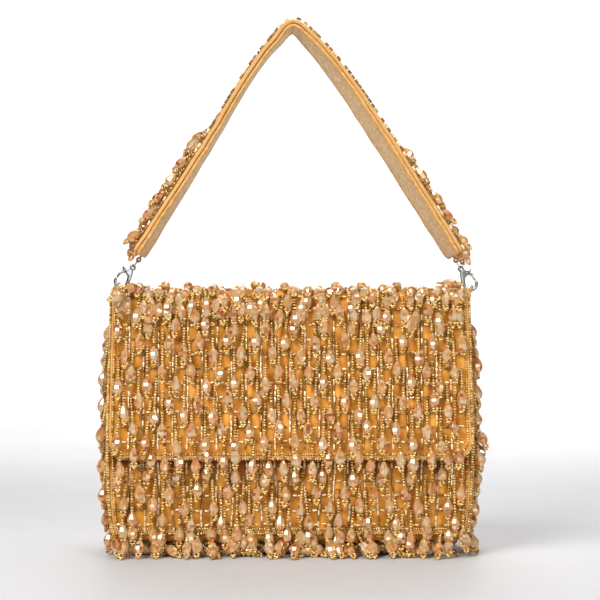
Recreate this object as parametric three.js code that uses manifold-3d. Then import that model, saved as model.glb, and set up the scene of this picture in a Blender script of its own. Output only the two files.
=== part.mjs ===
// Beaded flap bag: a soft box of padded golden cloth under a fold-over flap, carried by a two-layer cloth strap
// on two lobster clasps, with a fringe of cut glass drops on the flap, front, sides, base and strap ends.
// Millimetres, +Z up, +X to the right of the front, +Y to the back, standing on z = 0.
import * as THREE from "three";
import { mergeVertices } from "three/addons/utils/BufferGeometryUtils.js";
import Module from "manifold-3d";

const wasm = await Module();
wasm.setup();

// Driving dimensions of the cloth body
const WALL = 3; // padded cloth wall
const GAP = 0.3; // clearance between neighbouring pieces
const BODY_SECTIONS = [
  { z: 13.5, halfWidth: 107.5, halfDepth: 31.0 },
  { z: 32.0, halfWidth: 109.5, halfDepth: 32.5 },
  { z: 62.0, halfWidth: 110.5, halfDepth: 31.5 },
  { z: 95.0, halfWidth: 110.5, halfDepth: 29.0 },
  { z: 128.0, halfWidth: 109.5, halfDepth: 25.5 },
  { z: 152.0, halfWidth: 108.0, halfDepth: 22.0 },
];
const FRONT_BELLY = 2.5; // how far the front swells past its side seams
const GUSSET_HOLLOW = 2.0; // how far a side sinks in between its seams at the mouth
const BASE_CORNER = 4;

// Driving dimensions of the flap
const FLAP_THICKNESS = 2.5;
const FLAP_TOP = 161; // height of the flat top of the bag
const FLAP_HEM = { y: -39, z: 60 };
const FLAP_BACK_RADIUS = 8.7;
const FLAP_FRONT_RADIUS = 14;
const FLAP_FRONT_Y = -28.5; // where the front roll ends and the front face starts
const FLAP_HALF_WIDTH = { top: 108.5, hem: 110.4 };
const FLAP_CORNER = 12;

// Driving dimensions of the fringe
const COLUMN_PITCH = 8.8; // of the lattice that the drops hang from
const ROW_PITCH = 13;
const COLUMNS = 24;
const BED = 2.6; // thickness of the layer of bead strings under the drops
const DROP_LENGTH = 9.5;
const DROP_RADIUS = 3;
const DROP_TABLE = 1.3; // radius of the flat tip
const DROP_SHOULDER = 0.62; // share of the length where a drop is widest
const DROP_SIDES = 6; // flat sides round each half of a drop
const DROP_RISE = 0.5; // height of a drop's axis above the face of its bed

// Driving dimensions of the strap
const STRAP_WIDTH = 20;
const STRAP_LAYER = 2.1;
const STRAP_CHAMFER = 0.7;
const STRAP_STEPS = 20;
const STRAP_SECTIONS = [
  { x: -93.4, z: 182.8, turn: 12 },
  { x: -80.0, z: 204.0, turn: 9 },
  { x: -49.0, z: 253.5, turn: 3 },
  { x: -22.0, z: 298.0, turn: 1 },
  { x: -9.5, z: 313.5, turn: 3 },
  { x: 1.6, z: 323.8, turn: 8 },
  { x: 13.0, z: 314.0, turn: 15 },
  { x: 29.0, z: 295.0, turn: 20 },
  { x: 57.0, z: 253.5, turn: 23 },
  { x: 89.0, z: 203.0, turn: 22 },
  { x: 102.0, z: 182.4, turn: 20 },
];
const TAB = { radius: 1.9, bore: 1.0, length: 2.4, reach: 2.7, neck: 1.4 }; // the eyelet at each strap end

// Driving dimensions of the metal and of the cord loops at the top of the sides
const RING = { radius: 3.0, wire: 0.45, segments: 14, sides: 6 };
const CLASP = {
  thickness: 3.0,
  chamfer: 0.35,
  eye: 1.9,
  eyeHole: 1.0,
  throatDepth: 11.2,
  throatOffset: 0.3,
  outer: 4.6,
  inner: 3.0,
  tipAngle: 187,
};
const LEVER = { pivotU: -1.1, pivotV: -3.9, disc: 1.25, hole: 0.8, pin: 0.5, thickness: 1.2, reach: 7.5 };
const LOOP = { cord: 0.9, halfGap: 3.6, halfBar: 2.2, seatZ: 141, seatX: 109.9, edgeZ: 158, sides: 6, steps: 14 };
// Each side's chain of ring, clasp and loop: unit directions run down from the strap in the X-Z plane,
// and mirror puts the lever on the outer side.
const SIDES = [
  { name: "left", end: 0, ring: [-0.6, -0.8], clasp: [-0.66, -0.751], mirror: 1 },
  { name: "right", end: 1, ring: [0.5, -0.866], clasp: [0.555, -0.832], mirror: -1 },
];

// Finishes
const finish = (color, roughness, metalness) => new THREE.MeshStandardMaterial({ color, roughness, metalness });
const CLOTH = finish(0xd9983f, 0.8, 0);
const LINING = finish(0xc9a468, 0.85, 0);
const GLASS = finish(0xd8b49a, 0.1, 0);
const METAL = finish(0xc9c9c6, 0.18, 1);
const CORD = finish(0xc8944a, 0.7, 0);

const range = (from, to, steps) => Array.from({ length: steps + 1 }, (_, i) => from + ((to - from) * i) / steps);
const degrees = THREE.MathUtils.degToRad;

// A closed geometry with shared vertices, its faces turned outwards, from points and triangles.
function closed(points, triangles) {
  let volume = 0;
  const edge = new THREE.Vector3();
  for (const [a, b, c] of triangles) volume += points[a].dot(edge.crossVectors(points[b], points[c]));
  const facing = volume < 0 ? triangles.map(([a, b, c]) => [a, c, b]) : triangles;
  return new THREE.BufferGeometry().setFromPoints(points).setIndex(facing.flat());
}

// The solid of a closed three.js geometry.
function solid(geometry) {
  const bare = geometry.clone();
  bare.deleteAttribute("normal");
  bare.deleteAttribute("uv");
  const merged = mergeVertices(bare, 1e-4);
  const index = merged.index.array;
  const triVerts = [];
  for (let i = 0; i < index.length; i += 3) {
    const [a, b, c] = [index[i], index[i + 1], index[i + 2]];
    if (a !== b && b !== c && a !== c) triVerts.push(a, b, c);
  }
  const vertProperties = merged.attributes.position.array;
  return new wasm.Manifold(new wasm.Mesh({ numProp: 3, vertProperties, triVerts: new Uint32Array(triVerts) }));
}

function geometryOf(body) {
  const made = body.getMesh();
  return new THREE.BufferGeometry()
    .setAttribute("position", new THREE.BufferAttribute(new Float32Array(made.vertProperties), 3))
    .setIndex(new THREE.BufferAttribute(new Uint32Array(made.triVerts), 1));
}

const join = (solids) => solids.reduce((whole, next) => whole.add(next));

const bag = new THREE.Group();
function piece(name, geometry, material) {
  const mesh = new THREE.Mesh(geometry, material);
  mesh.name = name;
  bag.add(mesh);
}

// A sheet with two faces and four edges: outer and inner give its points for a row and a column.
function sheet(rows, columns, outer, inner) {
  const across = columns.length;
  const count = rows.length * across;
  const points = [outer, inner].flatMap((face) => rows.flatMap((r) => columns.map((c) => face(r, c))));
  const triangles = [];
  const quad = (a, b, c, d) => triangles.push([a, b, c], [a, c, d]);
  for (let i = 0; i + 1 < rows.length; i++) {
    for (let j = 0; j + 1 < across; j++) {
      const a = i * across + j;
      quad(a, a + 1, a + across + 1, a + across);
      quad(count + a, count + a + across, count + a + across + 1, count + a + 1);
    }
    const left = i * across;
    const right = left + across - 1;
    quad(left + across, count + left + across, count + left, left);
    quad(right, count + right, count + right + across, right + across);
  }
  for (let j = 0; j + 1 < across; j++) {
    const last = count - across + j;
    quad(j, count + j, count + j + 1, j + 1);
    quad(last + 1, count + last + 1, count + last, last);
  }
  return closed(points, triangles);
}

// Rings of points, all of one size, joined end to end and closed by two caps, or into a loop. The two halves of
// a ring split their faces alike, so that layers of one twisted band stay parallel.
function loft(rings, isLoop = false) {
  const around = rings[0].length;
  const points = rings.flat();
  const triangles = [];
  const spans = isLoop ? rings.length : rings.length - 1;
  for (let i = 0; i < spans; i++) {
    const base = i * around;
    const next = ((i + 1) % rings.length) * around;
    for (let j = 0; j < around; j++) {
      const k = (j + 1) % around;
      if (2 * j < around) triangles.push([base + j, base + k, next + k], [base + j, next + k, next + j]);
      else triangles.push([base + j, base + k, next + j], [base + k, next + k, next + j]);
    }
  }
  const end = points.length - around;
  for (let j = 1; !isLoop && j + 1 < around; j++) {
    triangles.push([0, j + 1, j], [end, end + j, end + j + 1]);
  }
  return closed(points, triangles);
}

// Body walls. The table is read in straight steps between its rows.
function bodyAt(z) {
  const last = BODY_SECTIONS.length - 1;
  const i = Math.min(last - 1, Math.max(0, BODY_SECTIONS.findIndex((s) => s.z > z) - 1));
  const from = BODY_SECTIONS[z >= BODY_SECTIONS[last].z ? last - 1 : i];
  const to = BODY_SECTIONS[BODY_SECTIONS.indexOf(from) + 1];
  const t = (z - from.z) / (to.z - from.z);
  return {
    halfWidth: THREE.MathUtils.lerp(from.halfWidth, to.halfWidth, t),
    halfDepth: THREE.MathUtils.lerp(from.halfDepth, to.halfDepth, t),
  };
}
const BODY_BOTTOM = BODY_SECTIONS[0].z;
const MOUTH = BODY_SECTIONS[BODY_SECTIONS.length - 1].z;
const riseOf = (z) => (z - BODY_BOTTOM) / (MOUTH - BODY_BOTTOM);
const sectionHeights = BODY_SECTIONS.map((s) => s.z);

function frontFace(x, z, offset) {
  const { halfWidth, halfDepth } = bodyAt(z);
  const swell = FRONT_BELLY * Math.sin(Math.PI * riseOf(z)) * (1 - (x / halfWidth) ** 2);
  return new THREE.Vector3(x, -halfDepth - swell - offset, z);
}

// One side's outer face; hand is -1 on the left and 1 on the right.
function sideFace(hand, y, z, offset) {
  const { halfWidth, halfDepth } = bodyAt(z);
  const hollow = GUSSET_HOLLOW * Math.max(0, 2 * riseOf(z) - 1) * (1 - (y / halfDepth) ** 2);
  return new THREE.Vector3(hand * (halfWidth - hollow + offset), y, z);
}

function makeBody() {
  const across = range(-1, 1, 6);
  const wide = (z, u) => u * bodyAt(z).halfWidth;
  const front = sheet(
    sectionHeights,
    across,
    (z, u) => frontFace(wide(z, u), z, 0),
    (z, u) => frontFace(wide(z, u), z, -WALL),
  );
  const backAt = (depth) => (z, u) => new THREE.Vector3(wide(z, u), bodyAt(z).halfDepth - depth, z);
  piece("front_panel", front, CLOTH);
  piece("back_panel", sheet(sectionHeights, [-1, 1], backAt(0), backAt(WALL)), CLOTH);
  for (const { name, mirror } of SIDES) {
    const side = (offset) => (z, v) =>
      sideFace(-mirror, v * (bodyAt(z).halfDepth - WALL - GAP), z, offset);
    piece(`gusset_${name}`, sheet(sectionHeights, range(-1, 1, 4), side(0), side(-WALL)), CLOTH);
  }
  piece("base_panel", makeBase(), CLOTH);
}

function roundedRectangle(halfX, halfY, radius) {
  const outline = new THREE.Shape();
  outline.absarc(halfX - radius, halfY - radius, radius, 0, Math.PI / 2);
  outline.absarc(radius - halfX, halfY - radius, radius, Math.PI / 2, Math.PI);
  outline.absarc(radius - halfX, radius - halfY, radius, Math.PI, 1.5 * Math.PI);
  outline.absarc(halfX - radius, radius - halfY, radius, 1.5 * Math.PI, 2 * Math.PI);
  return outline;
}

function makeBase() {
  const { halfWidth, halfDepth } = BODY_SECTIONS[0];
  const outline = roundedRectangle(halfWidth, halfDepth, BASE_CORNER);
  const board = new THREE.ExtrudeGeometry(outline, { depth: WALL, bevelEnabled: false, curveSegments: 3 });
  return board.translate(0, 0, BODY_BOTTOM - GAP - WALL);
}

// Flap. Its profile runs in the Y-Z plane from the back seam, over the top and down the front to the hem.
const flapStart = { y: BODY_SECTIONS[BODY_SECTIONS.length - 1].halfDepth, z: MOUTH + GAP };
const flapPath = new THREE.Path();
flapPath.absarc(flapStart.y - FLAP_BACK_RADIUS, FLAP_TOP - FLAP_BACK_RADIUS, FLAP_BACK_RADIUS, 0, Math.PI / 2);
flapPath.absarc(
  FLAP_FRONT_Y + FLAP_FRONT_RADIUS,
  FLAP_TOP - FLAP_FRONT_RADIUS,
  FLAP_FRONT_RADIUS,
  Math.PI / 2,
  Math.PI,
);
flapPath.lineTo(FLAP_HEM.y, FLAP_HEM.z);
const flapLength = flapPath.getLength();
const [backRoll, flatTop, frontRoll] = flapPath.curves.map((curve) => curve.getLength());
const topStart = backRoll;
const rollStart = backRoll + flatTop;
const faceStart = rollStart + frontRoll;

// A point of the flap at a distance along its profile, x across it, and offset out of its outer face.
function flapPoint(along, x, offset) {
  const share = Math.min(1, along / flapLength);
  const at = flapPath.getPoint(share);
  const way = flapPath.getTangent(share);
  const past = Math.max(0, along - flapLength);
  return new THREE.Vector3(
    x,
    at.x + past * way.x + offset * way.y,
    at.y + past * way.y - offset * way.x,
  );
}
const flapWay = (along) => flapPoint(along + 1, 0, 0).sub(flapPoint(along, 0, 0)).normalize();

// Rows across the flap from a starting distance, all drawn in by inset from its sides and its hem, and the first
// one by backInset more.
function flapRows(start, inset, backInset) {
  const radius = FLAP_CORNER - inset;
  const cornerStart = flapLength - FLAP_CORNER;
  const widthAt = (along) =>
    THREE.MathUtils.lerp(FLAP_HALF_WIDTH.top, FLAP_HALF_WIDTH.hem, along / flapLength) - inset;
  const straight = [
    backRoll / 2, topStart, rollStart,
    ...range(rollStart, faceStart, 3).slice(1),
    cornerStart,
  ].filter((along) => along > start + 1);
  const corner = [30, 60, 90].map((angle) => ({
    along: cornerStart + radius * Math.sin(degrees(angle)),
    halfWidth: widthAt(flapLength) - radius * (1 - Math.cos(degrees(angle))),
  }));
  const first = { along: start, halfWidth: widthAt(start) - backInset };
  return [first, ...straight.map((along) => ({ along, halfWidth: widthAt(along) })), ...corner];
}

function flapSheet(rows, top, bottom) {
  const face = (offset) => (row, u) => flapPoint(row.along, u * row.halfWidth, offset);
  return sheet(rows, [-1, 1], face(top), face(bottom));
}

// Drops. A drop is cut with flat sides, pointed at its thread and flat at its tip, and drawn about its widest place.
const DROP_NECK = DROP_SHOULDER * DROP_LENGTH;
const dropProfile = [
  new THREE.Vector2(0, DROP_NECK - DROP_LENGTH),
  new THREE.Vector2(DROP_TABLE, DROP_NECK - DROP_LENGTH),
  new THREE.Vector2(DROP_RADIUS, 0),
  new THREE.Vector2(0, DROP_NECK),
];
const dropGeometry = new THREE.LatheGeometry(dropProfile, DROP_SIDES);

// One drop with its widest place at a point, lying along a direction.
function drop(at, way) {
  const turn = new THREE.Quaternion().setFromUnitVectors(new THREE.Vector3(0, -1, 0), way);
  return solid(dropGeometry.clone().applyQuaternion(turn).translate(at.x, at.y, at.z));
}

// The lattice places of a chequered field: rows counted from first to last, columns alternating.
function* chequer(first, last, columns) {
  for (let row = 0; first + row * ROW_PITCH <= last; row++) {
    for (let column = row % 2; column < columns; column += 2) {
      yield { along: first + row * ROW_PITCH, across: (column - (columns - 1) / 2) * COLUMN_PITCH };
    }
  }
}

const DOWN = new THREE.Vector3(0, 0, -1);
const BED_FACE = GAP + BED;
const DROP_AXIS = BED_FACE + DROP_RISE;
const FLAP_BED = { start: topStart + 3, inset: 3.5, backInset: 18 }; // kept clear of the clasps at the back
const FLAP_DROPS = { first: topStart + 23, last: flapLength + 2 };
const FRONT_BED = { top: 57, bottom: 16, inset: 4 };
const FRONT_DROPS = { first: 46, last: 19 };
const SIDE_BED = { top: 124, bottom: 16, inset: 7 };
const SIDE_DROPS = { first: 117, last: 20, columns: 5 };

function makeFlapFringe() {
  const rows = flapRows(FLAP_BED.start, FLAP_BED.inset, FLAP_BED.backInset);
  const bed = solid(flapSheet(rows, BED_FACE, GAP));
  const places = [...chequer(FLAP_DROPS.first, FLAP_DROPS.last, COLUMNS)].filter(
    ({ along, across }) => along > rollStart || Math.abs(across) < rows[0].halfWidth,
  );
  const drops = places.map(({ along, across }) => drop(flapPoint(along, across, DROP_AXIS), flapWay(along)));
  return geometryOf(join([bed, ...drops]));
}

function makeFrontFringe() {
  const rows = [FRONT_BED.bottom, ...sectionHeights.slice(1, 2), FRONT_BED.top];
  const face = (offset) => (z, u) => frontFace(u * (bodyAt(z).halfWidth - FRONT_BED.inset), z, offset);
  const bed = solid(sheet(rows, range(-1, 1, 4), face(BED_FACE), face(GAP)));
  const drops = [...chequer(-FRONT_DROPS.first, -FRONT_DROPS.last, COLUMNS)].map(({ along, across }) =>
    drop(frontFace(across, -along, DROP_AXIS), DOWN),
  );
  return geometryOf(join([bed, ...drops]));
}

function makeSideFringe(hand) {
  const rows = [SIDE_BED.bottom, ...sectionHeights.slice(1, 4), SIDE_BED.top];
  const face = (offset) => (z, v) => sideFace(hand, v * (bodyAt(z).halfDepth - SIDE_BED.inset), z, offset);
  const bed = solid(sheet(rows, range(-1, 1, 2), face(BED_FACE), face(GAP)));
  const places = chequer(-SIDE_DROPS.first, -SIDE_DROPS.last, SIDE_DROPS.columns);
  const drops = [...places].map(({ along, across }) => drop(sideFace(hand, across, -along, DROP_AXIS), DOWN));
  return geometryOf(join([bed, ...drops]));
}

// The fringe under the base lies crushed on the ground: rows of drops under a bed of strings. Each row gives
// the place of its drops' widest part, the way its drops point, how many there are, and how they fan to the sides.
const BASE_BED = { halfX: 103, halfY: 33, top: 9.9, bottom: 3.8 };
const BASE_ROWS = [
  { y: -36, facing: -1, count: 20, fan: [-24, 8, 30, -6] },
  { y: -16, facing: -1, count: 3, fan: [0] },
  { y: 16, facing: 1, count: 3, fan: [0] },
  { y: 36, facing: 1, count: 10, fan: [16, -16] },
];
// A lying drop leans on one of the flat sides next to its tip, with its thread end up in the bed.
const LEAN = Math.atan(
  ((DROP_RADIUS - DROP_TABLE) * Math.cos(Math.PI / DROP_SIDES)) / (DROP_LENGTH - DROP_NECK),
);

function makeBaseFringe() {
  const outline = roundedRectangle(BASE_BED.halfX, BASE_BED.halfY, BASE_CORNER);
  const depth = BASE_BED.top - BASE_BED.bottom;
  const bed = new THREE.ExtrudeGeometry(outline, { depth, bevelEnabled: false, curveSegments: 3 });
  const drops = BASE_ROWS.flatMap(({ y, facing, count, fan }) => {
    const spread = (COLUMNS * COLUMN_PITCH) / count;
    return range(0, count - 1, count - 1).map((i) => {
      const lying = dropGeometry
        .clone()
        .rotateY(Math.PI / DROP_SIDES)
        .rotateX(LEAN);
      const low = new THREE.Box3().setFromBufferAttribute(lying.attributes.position).min.z;
      lying.rotateZ((facing < 0 ? 0 : Math.PI) + degrees(fan[i % fan.length]));
      return solid(lying.translate((i - (count - 1) / 2) * spread, y, -low));
    });
  });
  return geometryOf(join([solid(bed.translate(0, 0, BASE_BED.bottom)), ...drops]));
}

// Strap. A station of 0 to 1 counts along its sections, and each place has the way along the strap, the way across
// it and the way out of the loop.
const strapCurve = new THREE.CatmullRomCurve3(
  STRAP_SECTIONS.map(({ x, z }) => new THREE.Vector3(x, 0, z)),
  false,
  "centripetal",
);
const strapTurns = new THREE.CatmullRomCurve3(
  STRAP_SECTIONS.map(({ turn }, i) => new THREE.Vector3(i, turn, 0)),
  false,
  "centripetal",
);

function strapFrame(station) {
  const way = strapCurve.getTangent(station).normalize();
  const turn = -degrees(strapTurns.getPoint(station).y);
  const out = new THREE.Vector3(-way.z, 0, way.x).applyAxisAngle(way, turn);
  const across = new THREE.Vector3(0, 1, 0).applyAxisAngle(way, turn);
  return { at: strapCurve.getPoint(station), way, out, across };
}

// A point of the strap at a station, across its width and out of its middle.
function strapPoint(station, across, out) {
  const frame = strapFrame(station);
  return frame.at.addScaledVector(frame.across, across).addScaledVector(frame.out, out);
}

// A band along part of the strap, with chamfered edges.
function strapBand(from, to, steps, width, low, high, chamfer) {
  const half = width / 2;
  const corners = [
    [-half, low + chamfer], [chamfer - half, low], [half - chamfer, low], [half, low + chamfer],
    [half, high - chamfer], [half - chamfer, high], [chamfer - half, high], [-half, high - chamfer],
  ];
  return loft(range(from, to, steps).map((station) => corners.map(([a, o]) => strapPoint(station, a, o))));
}

// The way out of a strap end and the middle of its eyelet's bore.
function strapEnd(end) {
  const { at, way, out, across } = strapFrame(end);
  const outward = way.multiplyScalar(end === 0 ? -1 : 1);
  const middle = at.addScaledVector(out, -(STRAP_LAYER + GAP) / 2);
  return { outward, bore: middle.clone().addScaledVector(outward, TAB.reach), middle, out, across };
}

function upright(radius, length, at, sides) {
  return new THREE.CylinderGeometry(radius, radius, length, sides).translate(at.x, at.y, at.z);
}

function makeStrap() {
  const half = GAP / 2;
  const face = strapBand(0, 1, STRAP_STEPS, STRAP_WIDTH, half, half + STRAP_LAYER, STRAP_CHAMFER);
  piece("strap_face", face, CLOTH);
  let lining = solid(strapBand(0, 1, STRAP_STEPS, STRAP_WIDTH, -half - STRAP_LAYER, -half, STRAP_CHAMFER));
  for (const end of [0, 1]) {
    const { outward, bore, middle } = strapEnd(end);
    const root = middle.clone().addScaledVector(outward, -1);
    const neck = new THREE.BoxGeometry(TAB.neck, TAB.length, TAB.reach + 1);
    neck.lookAt(outward).translate((root.x + bore.x) / 2, 0, (root.z + bore.z) / 2);
    lining = lining.add(solid(neck)).add(solid(upright(TAB.radius, TAB.length, bore, 8)));
    lining = lining.subtract(solid(upright(TAB.bore, 2 * STRAP_WIDTH, bore, 8)));
  }
  piece("strap_lining", geometryOf(lining), LINING);
}

// The drops on the strap's outer face lie along it, pointing down to the clasp, on a strip of strings.
const STRAP_FRINGE = { width: 13, thickness: 1.4, from: 0.04, to: 0.2, steps: 4, count: 6, stagger: 3.6 };

const STRAP_DROP_RISE = DROP_RADIUS - STRAP_FRINGE.thickness + GAP;

function makeStrapFringe(end) {
  const top = GAP / 2 + STRAP_LAYER + GAP;
  const stationOf = (station) => (end === 0 ? station : 1 - station);
  const { from, to, steps, width, thickness, count, stagger } = STRAP_FRINGE;
  const strip = solid(strapBand(stationOf(from), stationOf(to), steps, width, top, top + thickness, 0.3));
  const drops = range(from + 0.03, to - 0.01, count - 1).map((station, i) => {
    const { way } = strapFrame(stationOf(station));
    const down = way.multiplyScalar(end === 0 ? -1 : 1);
    const side = i % 2 ? stagger : -stagger;
    return drop(strapPoint(stationOf(station), side, top + thickness + STRAP_DROP_RISE), down);
  });
  return geometryOf(join([strip, ...drops]));
}

// Clasps. The drawing plane has u away from the lever and v up from the hook, with the eye at (0, 0).
function claspOutline() {
  const centre = { u: CLASP.throatOffset, v: -CLASP.throatDepth };
  const tip = -degrees(360 - CLASP.tipAngle);
  const outline = new THREE.Shape();
  outline.absarc(0, 0, CLASP.eye, degrees(-50), degrees(230));
  outline.lineTo(-1.9, -2.6);
  outline.lineTo(-2.5, -4.0);
  outline.lineTo(-1.9, -5.3);
  outline.lineTo(1.3, -6.2);
  outline.lineTo(2.6, -8.6);
  outline.absarc(centre.u, centre.v, CLASP.inner, degrees(25), tip, true);
  outline.absarc(centre.u, centre.v, CLASP.outer, tip, degrees(8), false);
  outline.lineTo(4.1, -7.0);
  outline.lineTo(2.6, -3.4);
  const hole = new THREE.Path();
  hole.absarc(0, 0, CLASP.eyeHole, 0, 2 * Math.PI);
  outline.holes.push(hole);
  return outline;
}

function leverOutline() {
  const end = (angle) => [
    LEVER.pivotU + LEVER.reach * Math.cos(degrees(angle)),
    LEVER.pivotV + LEVER.reach * Math.sin(degrees(angle)),
  ];
  const outline = new THREE.Shape();
  outline.absarc(LEVER.pivotU, LEVER.pivotV, LEVER.disc, degrees(-60), degrees(130));
  outline.lineTo(-3.4, -3.5);
  outline.lineTo(-5.0, -3.0);
  outline.lineTo(-5.4, -3.8);
  outline.lineTo(-4.0, -5.0);
  outline.lineTo(-4.6, -7.6);
  outline.lineTo(...end(246));
  outline.lineTo(...end(256));
  outline.lineTo(-3.1, -8.0);
  outline.lineTo(-2.2, -6.2);
  const hole = new THREE.Path();
  hole.absarc(LEVER.pivotU, LEVER.pivotV, LEVER.hole, 0, 2 * Math.PI);
  outline.holes.push(hole);
  return outline;
}

// A plate cut to an outline, centred on its thickness.
function plate(outline, thickness, chamfer) {
  const made = new THREE.ExtrudeGeometry(outline, {
    depth: thickness - 2 * chamfer,
    curveSegments: 4,
    bevelEnabled: chamfer > 0,
    bevelThickness: chamfer,
    bevelSize: chamfer,
    bevelOffset: -chamfer,
    bevelSegments: 1,
  });
  return made.translate(0, 0, chamfer - thickness / 2);
}

const SLOT = { u: -1.2, v: -4.7, width: 4.8, height: 4.4 }; // where the lever sits between the two cheeks

function claspBody() {
  const slot = new THREE.BoxGeometry(SLOT.width, SLOT.height, LEVER.thickness + 2 * GAP);
  const pin = new THREE.CylinderGeometry(LEVER.pin, LEVER.pin, CLASP.thickness - CLASP.chamfer, 8);
  pin.rotateX(Math.PI / 2).translate(LEVER.pivotU, LEVER.pivotV, 0);
  return solid(plate(claspOutline(), CLASP.thickness, CLASP.chamfer))
    .subtract(solid(slot.translate(SLOT.u, SLOT.v, 0)))
    .add(solid(pin));
}

// Moves a drawing of the clasp to its place: v runs up against the clasp's direction, u to its side.
function claspPlace(eye, [x, z], mirror) {
  const up = new THREE.Vector3(-x, 0, -z);
  const side = new THREE.Vector3(mirror * up.z, 0, -mirror * up.x);
  const depth = new THREE.Vector3().crossVectors(side, up);
  return new THREE.Matrix4().makeBasis(side, up, depth).setPosition(eye);
}

// A ring of wire round a middle, in the plane of two unit directions.
function wireRing(middle, long, across) {
  const normal = new THREE.Vector3().crossVectors(long, across);
  const turn = (share) => 2 * Math.PI * share;
  const rings = range(0, RING.segments - 1, RING.segments - 1).map((i) => {
    const angle = turn(i / RING.segments);
    const spoke = long.clone().multiplyScalar(Math.cos(angle)).addScaledVector(across, Math.sin(angle));
    const hub = middle.clone().addScaledVector(spoke, RING.radius);
    return range(0, RING.sides - 1, RING.sides - 1).map((j) => {
      const around = turn(j / RING.sides);
      return hub
        .clone()
        .addScaledVector(spoke, RING.wire * Math.cos(around))
        .addScaledVector(normal, RING.wire * Math.sin(around));
    });
  });
  return loft(rings, true);
}

// A cord loop sewn to the outer face of a side, rising past the flap's edge to the hook that it holds.
function sideLoop(hand, hook) {
  const seat = (y, x, z) => new THREE.Vector3(hand * x, y, z);
  const leg = (y) => [seat(y, LOOP.seatX, LOOP.seatZ), seat(y, LOOP.seatX, LOOP.edgeZ - 6)];
  const bend = (y) => seat(y, Math.max(LOOP.seatX, Math.abs(hook.x) - 1.2), hook.z - 3.6);
  const bar = (y) => new THREE.Vector3(hook.x, y, hook.z);
  const half = (y, barY) => [...leg(y), bend(y), bar(barY)];
  const path = new THREE.CatmullRomCurve3([
    ...half(-LOOP.halfGap, -LOOP.halfBar),
    ...half(LOOP.halfGap, LOOP.halfBar).reverse(),
  ]);
  const section = new THREE.Shape();
  section.absarc(0, 0, LOOP.cord, 0, 2 * Math.PI);
  const corner = new THREE.Shape(section.getPoints(LOOP.sides / 2).slice(0, -1));
  return new THREE.ExtrudeGeometry(corner, { extrudePath: path, steps: LOOP.steps });
}

function makeSide({ name, end, ring, clasp, mirror }) {
  const { bore } = strapEnd(end);
  bore.y = 0;
  const ringWay = new THREE.Vector3(ring[0], 0, ring[1]);
  const across = new THREE.Vector3(0, 1, 0);
  const eye = bore.clone().addScaledVector(ringWay, 2 * RING.radius);
  const place = claspPlace(eye, clasp, mirror);
  const hook = new THREE.Vector3(
    CLASP.throatOffset,
    -CLASP.throatDepth - CLASP.inner + LOOP.cord + GAP,
    0,
  ).applyMatrix4(place);
  piece(`strap_ring_${name}`, wireRing(bore.clone().addScaledVector(ringWay, RING.radius), ringWay, across), METAL);
  piece(`clasp_${name}`, geometryOf(claspBody()).applyMatrix4(place), METAL);
  const lever = plate(leverOutline(), LEVER.thickness, 0);
  piece(`clasp_lever_${name}`, lever.applyMatrix4(place), METAL);
  piece(`side_loop_${name}`, sideLoop(-mirror, hook), CORD);
}

makeBody();
piece("flap", flapSheet(flapRows(0, 0, 0), 0, -FLAP_THICKNESS), CLOTH);
piece("flap_fringe", makeFlapFringe(), GLASS);
piece("front_fringe", makeFrontFringe(), GLASS);
piece("base_fringe", makeBaseFringe(), GLASS);
makeStrap();
for (const side of SIDES) {
  piece(`gusset_fringe_${side.name}`, makeSideFringe(-side.mirror), GLASS);
  piece(`strap_fringe_${side.name}`, makeStrapFringe(side.end), GLASS);
  makeSide(side);
}

// The part's frame: the bag stands with its origin on the ground, under the middle of its whole form.
const whole = new THREE.Box3().setFromObject(bag);
const middle = whole.getCenter(new THREE.Vector3());
bag.position.set(-middle.x, -middle.y, -whole.min.z);
const part = new THREE.Group();
part.add(bag);

export default part;
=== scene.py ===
"""Looks of the beaded flap bag: a soft box of golden satin under a fold-over flap, netted all over with bugle
beads, hung with strings of seed beads that end in cut glass drops, and carried by a strap on two clasps."""

import math

import bpy
import numpy as np
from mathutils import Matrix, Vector


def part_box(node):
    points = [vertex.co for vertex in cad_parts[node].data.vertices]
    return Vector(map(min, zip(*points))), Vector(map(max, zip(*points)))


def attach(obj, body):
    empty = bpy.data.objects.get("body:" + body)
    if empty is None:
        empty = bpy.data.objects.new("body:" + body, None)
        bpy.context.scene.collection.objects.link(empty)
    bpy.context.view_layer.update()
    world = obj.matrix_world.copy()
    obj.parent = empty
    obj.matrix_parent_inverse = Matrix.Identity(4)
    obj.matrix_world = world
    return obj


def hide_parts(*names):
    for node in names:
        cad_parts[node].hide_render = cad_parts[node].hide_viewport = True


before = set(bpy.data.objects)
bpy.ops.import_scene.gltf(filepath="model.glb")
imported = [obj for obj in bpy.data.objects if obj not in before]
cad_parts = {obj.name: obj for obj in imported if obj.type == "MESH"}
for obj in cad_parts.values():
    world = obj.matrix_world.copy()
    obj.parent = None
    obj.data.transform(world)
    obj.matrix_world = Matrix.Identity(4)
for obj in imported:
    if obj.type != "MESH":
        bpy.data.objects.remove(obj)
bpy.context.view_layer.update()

# Camera. The photograph is taken level from the front with a long lens, at about half the height of the bag
# with its strap up, and a little to the right of the bag's middle.
MM = 0.001
CAMERA_PLACE = (6 * MM, -1236 * MM, 155 * MM)
LENS, SENSOR_WIDTH = 120, 36
camera = bpy.data.objects.new("camera", bpy.data.cameras.new("camera"))
camera.location = CAMERA_PLACE
camera.rotation_euler = (math.pi / 2, 0, 0)
camera.data.lens = LENS
camera.data.sensor_width = SENSOR_WIDTH
bpy.context.scene.collection.objects.link(camera)
bpy.context.scene.camera = camera
bpy.context.scene.view_settings.view_transform = "Standard"

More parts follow.
